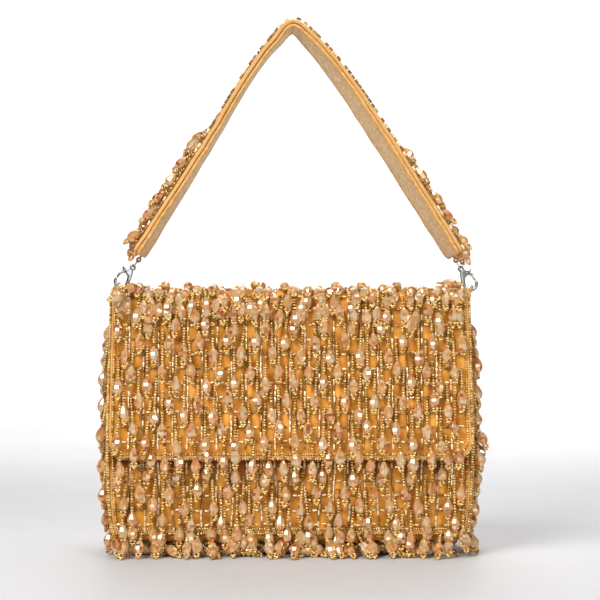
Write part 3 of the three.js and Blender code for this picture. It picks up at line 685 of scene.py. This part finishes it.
# Drop strings. From the net hang short strings of gold seeds, each with a cut champagne glass drop and a
# picot of five seeds at its tip. They lie over each other like shingles.
DROP_LENGTH, DROP_RADIUS = 9.5 * MM, 3.2 * MM
DROP_SIZES = 0.92, 1.06
DROP_CUT = [(0.22, 0, 1), (0.66, 0.2, 1), (0.95, 0.44, 1), (1.0, 0.62, 1), (0.8, 0.83, 1), (0.3, 1.0, 1)]
DROP_RIPPLE = 260, 0.05 * MM
DROP_TONES = (
    (0.0, (0.55, 0.17, 0.03)), (0.3, (1.0, 0.47, 0.15)), (0.65, (1.0, 0.63, 0.28)), (1.0, (1.0, 0.82, 0.52)),
)
PICOT = MM * np.array([(-1.2, 0.3), (1.2, 0.3), (-0.85, 1.8), (0.85, 1.8), (0, 2.9)])  # aside, past the tip
STRING_PITCH = 1.62 * MM
STRING_SEED = 1.0 * MM
STRING_SEED_SIZES = 0.9, 1.1
STRING_LIFT, DROP_LIFT = 1.4 * MM, 3.9 * MM
DROP_LIFT_SPREAD = -0.4 * MM, 0.9 * MM
STRING_EASE, EASE_PAST_NECK = 1.5, 0.35 * DROP_LENGTH  # how a string comes away from the wall
STRING_SPREAD = 0.05  # of its lean to either side
STRING_PROBE = 0.3 * MM
STRING_TOP = 6 * MM
LANE = 2.1 * MM
LANE_JITTER, ROW_JITTER = 0.6 * MM, 1.8 * MM
drop = turned(DROP_CUT, 8, facets=True)
drop_glass = bead_glass(
    "champagne_glass", DROP_TONES, DROP_RIPPLE,
    Metallic=0.12, Roughness=0.03, IOR=1.6, Transmission_Weight=0.48, Coat_Weight=0.8, Coat_IOR=1.7,
)


def chequer(columns, first, last, pitch=NET_PITCH, lane=LANE):
    """Places in rows, every other column in each row and on two lanes of a column by turns, as u and v."""
    rows = np.arange(first, last, pitch)
    u, v = np.meshgrid(row_of(columns, NET_PITCH), rows)
    column, row = np.meshgrid(np.arange(columns), np.arange(len(rows)))
    u = u + lane * np.where((row // 2 + column) % 2, 1, -1) + jitter(u.shape, LANE_JITTER)
    v = v + jitter(v.shape, ROW_JITTER)
    on = (column + row) % 2 == 0
    return u[on], v[on]


def string_counts(count, low, high):
    """How many seeds each of some strings has."""
    return chance.integers(low, high + 1, count)


def strung_seeds(seeds):
    """For every seed of every string, which string it is on and how far from where that is sewn on."""
    owner = np.repeat(np.arange(len(seeds)), seeds)
    order = np.arange(len(owner)) - np.repeat(np.cumsum(seeds) - seeds, seeds)
    return owner, (order + 0.5) * STRING_PITCH


def string_up(name, neck, way, size, aside, strung, strung_ways, seed_sizes, replaced):
    """The drops of some strings, and as a second piece their seeds with a picot at the tip of each drop."""
    widths, lengths = DROP_RADIUS * size, DROP_LENGTH * size
    drops = bead_mesh(f"{name}_drops", drop, neck, way, widths, lengths, drop_glass, cut=True)
    tip = neck + way * lengths[:, None]
    picot = [tip + out * aside + beyond * way for out, beyond in PICOT]
    places = np.concatenate([strung, *picot])
    ways = np.concatenate([strung_ways, *[way] * len(PICOT)])
    sizes = STRING_SEED * chance.uniform(*seed_sizes, len(places))
    strings = bead_mesh(f"{name}_strings", seed, places, ways, sizes, sizes, seed_glass, SEED_PAINTED_DARK_SHARE)
    for made in (drops, strings):
        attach(made, "bag")
    if replaced:
        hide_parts(replaced)


def hang(name, at, u, v, seeds, replaced=None, spread=STRING_SPREAD, top=STRING_TOP, loose=0.0):
    """Strings down a wall, each with a drop whose neck comes to a place, and with the fewest and the most
    seeds that one has. Loose ones stand off the wall by up to that much more."""
    count = len(u)
    seeds = np.minimum(string_counts(count, *seeds), ((v - top) / STRING_PITCH).astype(int)).clip(0)
    lean = chance.normal(0, spread, count)
    size = chance.uniform(*DROP_SIZES, count)
    lifted = DROP_LIFT + chance.uniform(*DROP_LIFT_SPREAD, count) + chance.uniform(0, loose, count)
    reach = seeds * STRING_PITCH

    def on_string(k, t):
        """A point of string k at a distance t from where it is sewn on."""
        ease = np.clip(t / (reach[k] + EASE_PAST_NECK), 0, 1) ** STRING_EASE
        off = STRING_LIFT + (lifted[k] - STRING_LIFT) * ease
        return lift(at, u[k] + lean[k] * (t - reach[k]), v[k] - reach[k] + t, off)

    every = np.arange(count)
    neck = on_string(every, reach)
    way = unit(on_string(every, reach + DROP_LENGTH) - neck)
    off_wall = lift(at, u, v, MM) - at(u, v)
    aside = unit(off_wall if loose else np.cross(way, off_wall))
    owner, run = strung_seeds(seeds)
    strung_ways = on_string(owner, run + STRING_PROBE) - on_string(owner, run - STRING_PROBE)
    string_up(name, neck, way, size, aside, on_string(owner, run), strung_ways, STRING_SEED_SIZES, replaced)


COLUMNS = 24
TOP_COLUMNS, TOP_PITCH = 29, 7.3 * MM
TOP_ROWS = np.linspace(-1, 19, 4) * MM  # from where the flap rolls over to the front
TOP_KEPT = [0.5, 0.8, 1, 1]  # share of the strings in each row
TOP_STAGGER, TOP_SPREAD = 1.8 * MM, 0.14
TOP_JITTER = 2.2 * MM, 3.0 * MM  # across and down
top_u, top_v = np.meshgrid(row_of(TOP_COLUMNS, TOP_PITCH), FLAP_ROLL_START + TOP_ROWS)
top_u = top_u + np.where(np.arange(len(TOP_ROWS)) % 2, TOP_STAGGER, -TOP_STAGGER)[:, None]
top_u = (top_u + jitter(top_u.shape, TOP_JITTER[0])).ravel()
top_v = (top_v + jitter(top_v.shape, TOP_JITTER[1])).ravel()
top_kept = chance.uniform(0, 1, len(top_u)) < np.repeat(TOP_KEPT, TOP_COLUMNS)
top_u, top_v = top_u[top_kept], top_v[top_kept]
hang("top", flap_at, top_u, top_v, seeds=(4, 9), spread=TOP_SPREAD)

LAST_ROW = 8 * MM  # how far above a lower edge the rows of drops end
FLAP_FIRST_ROW = FLAP_ROLL_START + 26 * MM
HEM_JITTER, HEM_RISE = 1.5 * MM, (-3 * MM, 8 * MM)  # places along the hem and above it
flap_places = chequer(COLUMNS, FLAP_FIRST_ROW, FLAP_LENGTH - LAST_ROW)
hang("flap", flap_at, *flap_places, seeds=(8, 13), replaced="flap_fringe")
hem_u = row_of(COLUMNS, NET_PITCH) + jitter(COLUMNS, HEM_JITTER)
hem_v = FLAP_LENGTH - chance.uniform(*HEM_RISE, COLUMNS)
hang("hem", flap_at, hem_u, hem_v, seeds=(4, 9))

FRONT_FIRST_ROW = MOUTH - 53 * MM
FRONT_FOOT_JITTER, FRONT_FOOT_RISE = 3 * MM, (2 * MM, 7 * MM)
front_places = chequer(COLUMNS, FRONT_FIRST_ROW, BODY_DROP - LAST_ROW)
hang("front", front_at, *front_places, seeds=(9, 15), replaced="front_fringe", top=FRONT_NET_TOP)
foot_u = row_of(COLUMNS, NET_PITCH) + jitter(COLUMNS, FRONT_FOOT_JITTER)
foot_v = BODY_DROP - chance.uniform(*FRONT_FOOT_RISE, COLUMNS)
hang("foot", front_at, foot_u, foot_v, seeds=(6, 12), top=FRONT_NET_TOP)

SIDE_STRING_COLUMNS = 6
SIDE_FIRST_ROW = 30 * MM
SHOULDER_U = np.array([-15, -9, 10, 15, -17, 12]) * MM  # two rows above the others, clear of the side loops
SHOULDER_V = np.array([12, 18, 13, 20, 25, 27]) * MM
for hand, side in ((-1, "left"), (1, "right")):
    side_places = chequer(SIDE_STRING_COLUMNS, SIDE_FIRST_ROW, BODY_DROP - LAST_ROW)
    hang(f"side_{side}", side_at(hand), *side_places, seeds=(6, 11), replaced=f"gusset_fringe_{side}")
    hang(f"shoulder_{side}", side_at(hand), SHOULDER_U, SHOULDER_V, seeds=(3, 9))

# Base fringe. Short strings round the lower edge and under the base end in drops that stand and lie on the
# ground, so the bag rests on a layer of crushed fringe.
PICOT_CLEAR = 0.9 * MM
FOOT_DROP_SIZES, FOOT_SEED_SIZES = (0.92, 1.05), (0.9, 1.02)
LEAST_LEAN, YAW_SPREAD = 0.03, 0.6
NUDGE = 0.01  # keeps a string along Y from losing its picot
FOOT_V = BODY_DROP - 2.5 * MM
FOOT_JITTER = 2 * MM
FRONT_FEET, BACK_FEET = (26, 8.5 * MM), (30, 7.1 * MM)  # count and pitch
SIDE_FEET, BASE_FEET = (7, 7.6 * MM), (30, 7.0 * MM)
BASE_ROWS = np.array([-28.5, -24.5, -11, 7, 25]) * MM  # from front to back
BASE_ROW_WAYS = [1.0, -1.0, 1.0, -1.0, 1.0]
FRONT_ROWS_END = -10 * MM  # rows before this lie along the front, and the others across
BASE_END = 84 * MM  # past this, strings point inward


def straight(name, starts, ways, seeds, replaced=None):
    """Strings that run straight from their starts, each with its count of seeds and a drop."""
    size = chance.uniform(*FOOT_DROP_SIZES, len(starts))
    neck = starts + ways * (seeds * STRING_PITCH)[:, None]
    aside = unit(np.cross(ways, [0.0, 1.0, 0.0]) + NUDGE)
    owner, run = strung_seeds(seeds)
    strung = starts[owner] + ways[owner] * run[:, None]
    string_up(name, neck, ways, size, aside, strung, ways[owner], FOOT_SEED_SIZES, replaced)


def leaning(starts, outward, seeds):
    """Ways for strings over the ground, each leaning outward as far as its length needs."""
    length = seeds * STRING_PITCH + DROP_LENGTH + PICOT[-1, 1]
    height = starts[:, 2] - PICOT_CLEAR
    lean = np.arccos(np.clip(height / length, -1, 1 - LEAST_LEAN * chance.uniform(0, 1, len(starts))))
    yaw = chance.normal(0, YAW_SPREAD, len(starts))
    flat = outward * np.cos(yaw)[:, None] + np.cross(outward, [0, 0, 1.0]) * np.sin(yaw)[:, None]
    return flat * np.sin(lean)[:, None] - np.array([0, 0, 1.0]) * np.cos(lean)[:, None]


front_foot, back_foot, side_foot = row_of(*FRONT_FEET), row_of(*BACK_FEET), row_of(*SIDE_FEET)
front_foot = front_foot + jitter(len(front_foot), FOOT_JITTER)
edges = (  # wall, places along its lower edge and the way out from it
    (front_at, front_foot, (0.0, -1.0, 0.0)), (back_at, back_foot, (0.0, 1.0, 0.0)),
    (side_at(-1), side_foot, (-1.0, 0.0, 0.0)), (side_at(1), side_foot, (1.0, 0.0, 0.0)),
)
edge_starts = np.concatenate([lift(at, places, FOOT_V, STRING_LIFT) for at, places, _ in edges])
edge_outward = np.concatenate([np.tile(outward, (len(places), 1)) for _, places, outward in edges])
base_rows, base_columns = np.meshgrid(MIDDLE_Y + BASE_ROWS, row_of(*BASE_FEET))
base_columns = base_columns + jitter(base_columns.shape, FOOT_JITTER)
under_starts = points_at(base_columns.ravel(), base_rows.ravel(), base_low.z)
front_under = under_starts[:, 1] < MIDDLE_Y + FRONT_ROWS_END
under_outward = np.where(front_under[:, None], [[1.0, 0.0, 0.0]], [[0.0, -1.0, 0.0]])
row_way = np.tile(BASE_ROW_WAYS, len(base_columns))
near_end = np.abs(under_starts[:, 0]) > BASE_END
under_outward = under_outward * np.where(near_end, -np.sign(under_starts[:, 0]), row_way)[:, None]
foot_starts = np.concatenate([edge_starts, under_starts])
foot_seeds = np.concatenate([
    string_counts(len(front_foot), 1, 5), string_counts(len(edge_starts) - len(front_foot), 1, 2),
    np.where(front_under, string_counts(len(under_starts), 3, 7), 0),
])
foot_ways = leaning(foot_starts, np.concatenate([edge_outward, under_outward]), foot_seeds)
straight("base", foot_starts, foot_ways, foot_seeds, "base_fringe")

# Corner strings. At the ends of the fold three short strings have slid off the top and lie along it, two on
# the left and one on the right, with their drops pointing outward. Three more hang clear of the right side.
CORNER_LIFT, SWUNG_LIFT = DROP_LIFT + 1.5 * MM, DROP_LIFT - MM
corner_u = np.array([-97, -88, 89]) * MM
corner_v = FLAP_ROLL_START + np.array([13, 8, 4]) * MM
corner_ways = unit(np.array([(-0.78, -0.58, -0.22), (-0.93, -0.34, -0.12), (0.95, -0.30, -0.08)]))
straight("corner", lift(flap_at, corner_u, corner_v, CORNER_LIFT), corner_ways, np.array([2, 2, 2]))
swung_u = np.array([-22, -19, -26]) * MM
swung_v = np.array([72, 80, 85]) * MM
swung_ways = unit(np.array([(0.36, -0.12, -0.92), (0.25, -0.10, -0.96), (0.14, -0.16, -0.98)]))
straight("swung", lift(side_at(1), swung_u, swung_v, SWUNG_LIFT), swung_ways, np.array([3, 3, 2]))

# Strap. Two padded bands sewn back to back: golden satin outside and plainer beige cloth inside, with a seam
# between them along both edges, and a small folded tab at each end for the jump ring.
STRAP_SECTIONS = np.array([  # x and height in millimetres, and turn towards the viewer in degrees
    (-93.4, 182.8, 12), (-80.0, 204.0, 9), (-49.0, 253.5, 3), (-22.0, 298.0, 1),
    (-9.5, 313.5, 3), (1.6, 323.8, 8), (13.0, 314.0, 15), (29.0, 295.0, 20),
    (57.0, 253.5, 23), (89.0, 203.0, 22), (102.0, 182.4, 20),
])
SPAN_STEPS = 40
STRAP_HALF = 10 * MM
STRAP_LAYER = 2.1 * MM
STRAP_PADDING = 0.5 * MM
STRAP_SPLIT = 0.15 * MM
STRAP_OUTER_FACE = STRAP_SPLIT + STRAP_LAYER + STRAP_PADDING
STRAP_RINGS, STRAP_AROUND = 340, 30
SEAM_PUCKER, PUCKER_PITCH = 0.012, 3.4 * MM
END_TUCK, END_TUCK_RUN = 0.22, 3.5 * MM
WRINKLE, WRINKLE_RUN, WRINKLE_WANDER = 0.22 * MM, 4.3 * MM, 13 * MM
BAND_SQUARENESS, BAND_FULLNESS = 0.14, 0.55  # exponents across the band and through it
STRAP_GOLD = (0.58, 0.28, 0.06), (0.88, 0.50, 0.15)
LINING_SPECKLE = 420, (0.60, 0.39, 0.17), (0.88, 0.64, 0.35)
# Towards the band's edges the beige turns golden: partly a real binding where the satin wraps round, partly
# painted gold bounce light.
LINING_BINDING_AND_BOUNCE = (0.3, (1, 1, 1)), (0.95, (1.0, 0.78, 0.45))  # how the beige turns golden towards its edges
LINING_WEAVE = 0.8 * MM, 0.25 * MM


def smooth_run(points, per_span):
    """A smooth line through points, evenly stepped between each pair of them."""
    ends = np.concatenate([[2 * points[0] - points[1]], points, [2 * points[-1] - points[-2]]])
    steps = np.linspace(0, 1, per_span, endpoint=False)[:, None]
    run = []
    for a, b, c, d in zip(ends, ends[1:], ends[2:], ends[3:]):
        ab, bc, cd = (math.sqrt(np.linalg.norm(q - p)) for p, q in ((a, b), (b, c), (c, d)))
        leave = bc * ((b - a) / ab - (c - a) / (ab + bc) + (c - b) / bc)
        arrive = bc * ((c - b) / bc - (d - b) / (bc + cd) + (d - c) / cd)
        run.append(
            b + leave * steps
            + (3 * (c - b) - 2 * leave - arrive) * steps ** 2
            + (2 * (b - c) + leave + arrive) * steps ** 3
        )
    return np.concatenate([*run, points[-1:]])


strap_line = smooth_run(MM * STRAP_SECTIONS[:, :2], SPAN_STEPS)
section_turns = np.stack([np.arange(len(STRAP_SECTIONS)), STRAP_SECTIONS[:, 2]], axis=1)
strap_lean = -np.radians(smooth_run(section_turns, SPAN_STEPS)[:, 1])[:, None]
strap_middle = points_at(strap_line[:, 0], MIDDLE_Y, strap_line[:, 1])
strap_runs = runs_along(strap_middle)
STRAP_LENGTH = strap_runs[-1]
STRAP_APEX = strap_runs[strap_middle[:, 2].argmax()]
strap_way = unit(np.gradient(strap_middle, strap_runs, axis=0))
level_out = points_at(-strap_way[:, 2], 0.0, strap_way[:, 0])
level_across = np.tile([[0.0, 1.0, 0.0]], (len(strap_way), 1))
strap_out, strap_across = (
    level * np.cos(strap_lean) + np.cross(strap_way, level) * np.sin(strap_lean)
    for level in (level_out, level_across)
)


def strap_point(run, across, out):
    """A point of the strap, by its run from the left end, its place across and how far out it is."""
    run, across, out = np.broadcast_arrays(run, across, out)
    side = across[..., None] * at_run(strap_across, strap_runs, run)
    rise = out[..., None] * at_run(strap_out, strap_runs, run)
    return at_run(strap_middle, strap_runs, run) + side + rise


def squared(wave, power):
    """A sine or cosine drawn out towards a square wave."""
    return np.sign(wave) * np.abs(wave) ** power


def strap_band(name, low, high, finish):
    """One padded band of the strap, rounded and puckered along its edges, where its tones are highest."""
    run = np.linspace(0, STRAP_LENGTH, STRAP_RINGS)[:, None]
    angle = 2 * math.pi * (np.arange(STRAP_AROUND) + 0.5)[None, :] / STRAP_AROUND
    wide, deep = np.cos(angle), np.sin(angle)
    pucker = 1 + SEAM_PUCKER * np.sin(2 * math.pi * run / PUCKER_PITCH) * np.abs(wide)
    to_end = np.minimum(run, STRAP_LENGTH - run)
    tucked = 1 - END_TUCK * np.clip(1 - to_end / END_TUCK_RUN, 0, 1) ** 2
    across = STRAP_HALF * tucked * pucker * squared(wide, BAND_SQUARENESS)
    wrinkle = WRINKLE * np.sin(run / WRINKLE_RUN + 2 * np.sin(run / WRINKLE_WANDER)) * np.abs(wide)
    thick = (high - low) / 2 * tucked * squared(deep, BAND_FULLNESS)
    points = strap_point(run, across, (low + high) / 2 + thick + wrinkle).reshape(-1, 3)
    walls, ends = tube_faces(STRAP_RINGS, STRAP_AROUND)
    tones = (np.abs(across) / STRAP_HALF).ravel()
    return make_mesh(name, points, [(walls, True), (ends, False)], finish, tones)


strap_satin = golden_satin("strap_golden_satin", *STRAP_GOLD)
strap_cloth = strap_band("strap_cloth", STRAP_SPLIT, STRAP_OUTER_FACE, strap_satin)
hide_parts("strap_face")
lining_cloth, nodes, link, place, shader = new_finish(
    "beige_cloth", Roughness=0.7, Sheen_Weight=0.25, Sheen_Roughness=0.5
)
# The lining's beige turned golden towards its edges, partly for the binding and partly as painted bounce
# light.
bound_and_bounced_lining = add_node(nodes, "MixRGB", Fac=1)
bound_and_bounced_lining.blend_type = "MULTIPLY"
link(speckle(nodes, link, place, *LINING_SPECKLE), bound_and_bounced_lining.inputs["Color1"])
link(ramped(nodes, link, own_tone(nodes), *LINING_BINDING_AND_BOUNCE), bound_and_bounced_lining.inputs["Color2"])
link(bound_and_bounced_lining.outputs["Color"], shader.inputs["Base Color"])
weave(nodes, link, place, shader, *LINING_WEAVE)
strap_lining = strap_band("strap_underside", -STRAP_SPLIT - STRAP_LAYER, -STRAP_SPLIT, lining_cloth)
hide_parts("strap_lining")
for band in (strap_cloth, strap_lining):
    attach(band, "bag")

TAB_REACH, TAB_RADIUS, TAB_HALF = 2.7 * MM, 1.2 * MM, 1.2 * MM
TAB_THICK, TAB_NECK_THICK, TAB_NECK_START = 0.6 * MM, 0.7 * MM, -1.0 * MM
TAB_SQUARENESS = 0.4
TAB_TURNS, TAB_AROUND, TAB_NECK_RINGS = 28, 12, 5
TAB_SPECKLE = 500, (0.16, 0.075, 0.018), (0.34, 0.17, 0.045)
TAB_WEAVE = 0.5 * MM, 0.15 * MM


def plain_cloth(name, tones, threads, **sockets):
    """Cloth or cord with plain threads, in a colour that wanders between two tones."""
    finish, nodes, link, place, shader = new_finish(name, **sockets)
    link(speckle(nodes, link, place, *tones), shader.inputs["Base Color"])
    weave(nodes, link, place, shader, *threads)
    return finish


def strap_tab(end, run, hand):
    """A folded cloth tab sewn between the layers at one end, round the jump ring."""
    outward = at_run(strap_way, strap_runs, run) * hand
    root = strap_point(run, 0.0, -(STRAP_LAYER + 2 * STRAP_SPLIT) / 2)
    bore = root + TAB_REACH * outward
    beside, along = np.cross(outward, [0, 1.0, 0]), np.array([0, 1.0, 0])
    angle = 2 * math.pi * np.arange(TAB_AROUND) / TAB_AROUND
    wide = (TAB_HALF * squared(np.sin(angle), TAB_SQUARENESS))[:, None] * along
    rings = []
    for turn in np.linspace(0, 2 * math.pi, TAB_TURNS, endpoint=False):
        spoke = outward * math.cos(turn) + beside * math.sin(turn)
        rings.append(bore + (TAB_RADIUS + TAB_THICK * np.cos(angle))[:, None] * spoke + wide)
    thick = (TAB_NECK_THICK * squared(np.cos(angle), TAB_SQUARENESS))[:, None] * beside
    for reach in np.linspace(TAB_NECK_START, TAB_REACH - TAB_RADIUS, TAB_NECK_RINGS):
        rings.append(root + reach * outward + thick + wide)
    loop_size = TAB_TURNS * TAB_AROUND
    loop_walls, _ = tube_faces(TAB_TURNS + 1, TAB_AROUND)
    neck_walls, neck_ends = tube_faces(TAB_NECK_RINGS, TAB_AROUND)
    groups = [(loop_walls % loop_size, True), (neck_walls + loop_size, True), (neck_ends + loop_size, False)]
    made = make_mesh(f"strap_tab_{end}", np.concatenate(rings), groups, tab_cloth)
    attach(made, "bag")


tab_cloth = plain_cloth("tab_cloth", TAB_SPECKLE, TAB_WEAVE, Roughness=0.6, Sheen_Weight=0.2)
strap_tab("left", 0.0, -1)
strap_tab("right", STRAP_LENGTH, 1)

# Strap beads. The outer face of the strap carries the same net, in stouter bugles, and on the lower third of
# each side a fringe of drop strings that lies along it towards the clasp.
STRAP_BUGLE_RADIUS = 0.82 * MM
# Most strap bugles are painted dark, as if their lining caught no light.
STRAP_BUGLE_PAINTED_DARK_SHARE = 0.7
STRAP_NET_TOP, STRAP_NET_COLUMNS = 0.1 * MM, 3
STRAP_FRINGE_END, STRAP_LOOSE = 2 * MM, 3 * MM
STRAP_NET_HALF = STRAP_HALF + 4 * MM
STRAP_LEGS = {  # hand, length, and the length and the pitch of the rows of its fringe
    "left": (-1, STRAP_APEX, 86 * MM, 6.5 * MM),
    "right": (1, STRAP_LENGTH - STRAP_APEX, 73.2 * MM, 7.8 * MM),
}
STRAP_STRING_COLUMNS, STRAP_STRING_SQUEEZE = 4, 0.55


def strap_leg(hand, length):
    """The outer face of one side of the strap as a wall: v runs down it from the top of the loop."""
    def at(u, v):
        along, free = hung_from(v, length)
        face = strap_point(STRAP_APEX + hand * along, hand * u, STRAP_OUTER_FACE)
        return face - free[..., None] * np.array([0, 0, 1.0])
    return at


for side, (hand, leg_length, fringe_length, fringe_pitch) in STRAP_LEGS.items():
    leg = strap_leg(hand, leg_length)
    bead_net(
        f"strap_net_{side}", leg, lambda v: np.full_like(v, STRAP_NET_HALF), STRAP_NET_TOP, leg_length - MM,
        STRAP_NET_COLUMNS, 0, STRAP_BUGLE_RADIUS, STRAP_BUGLE_PAINTED_DARK_SHARE,
    )
    first_row, last_row = leg_length - fringe_length, leg_length - STRAP_FRINGE_END
    strap_u, strap_v = chequer(STRAP_STRING_COLUMNS, first_row, last_row, fringe_pitch, 0)
    hang(
        f"strap_{side}", leg, STRAP_STRING_SQUEEZE * strap_u, strap_v, seeds=(2, 5),
        replaced=f"strap_fringe_{side}", loose=STRAP_LOOSE,
    )

# Clasps. Two cast lobster clasps with sprung levers, and the jump rings that tie them to the strap, all in
# polished nickel plate.
NICKEL_SPECKLE = 400, (0.26, 0.26, 0.255), (0.42, 0.42, 0.41)
NICKEL_RIPPLE = 170, 0.1 * MM
WORN_EDGE = 0.9 * MM
CAST_VOXEL = 0.17 * MM
PLATING = {"clasp": 0.2 * MM, "clasp_lever": 0.05 * MM}
nickel, nodes, link, place, shader = new_finish("polished_nickel", Metallic=1.0, Roughness=0.06)
link(speckle(nodes, link, place, *NICKEL_SPECKLE), shader.inputs["Base Color"])
soft_edge = add_node(nodes, "Bevel", Radius=WORN_EDGE)
soft_edge.samples = 8
polish = rippled(nodes, link, place, shader, *NICKEL_RIPPLE)
link(soft_edge.outputs["Normal"], polish.inputs["Normal"])


def dress(node, finish):
    """A node of the part in a finish of its own."""
    cad_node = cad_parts[node]
    cad_node.data.materials.clear()
    cad_node.data.materials.append(finish)
    return cad_node


def rounded_off(cad_node):
    """Wire or cord made round and smooth over its facets."""
    rounding = cad_node.modifiers.new("rounding", "SUBSURF")
    rounding.levels = rounding.render_levels = 2
    cad_node.data.shade_smooth()


for side in ("left", "right"):
    for kind, plating in PLATING.items():
        cast = dress(f"{kind}_{side}", nickel)
        even = cast.modifiers.new("even", "REMESH")
        even.mode = "VOXEL"
        even.voxel_size = CAST_VOXEL
        even.use_smooth_shade = True
        rounded = cast.modifiers.new("rounded", "SMOOTH")
        rounded.iterations = 4
        plated = cast.modifiers.new("plated", "DISPLACE")
        plated.strength = plating
        plated.mid_level = 0
    rounded_off(dress(f"strap_ring_{side}", nickel))

# Side loops. A loop of twisted cord is sewn into the top of each side, where the clasp hooks on. It is in
# the gold of the cloth, and mostly hidden by the drops.
CORD_SPECKLE = 300, (0.40, 0.20, 0.05), (0.66, 0.38, 0.12)
CORD_WEAVE = 0.9 * MM, 0.25 * MM
cord_twist = plain_cloth("twisted_cord", CORD_SPECKLE, CORD_WEAVE, Roughness=0.6, Sheen_Weight=0.3)
for side in ("left", "right"):
    rounded_off(dress(f"side_loop_{side}", cord_twist))
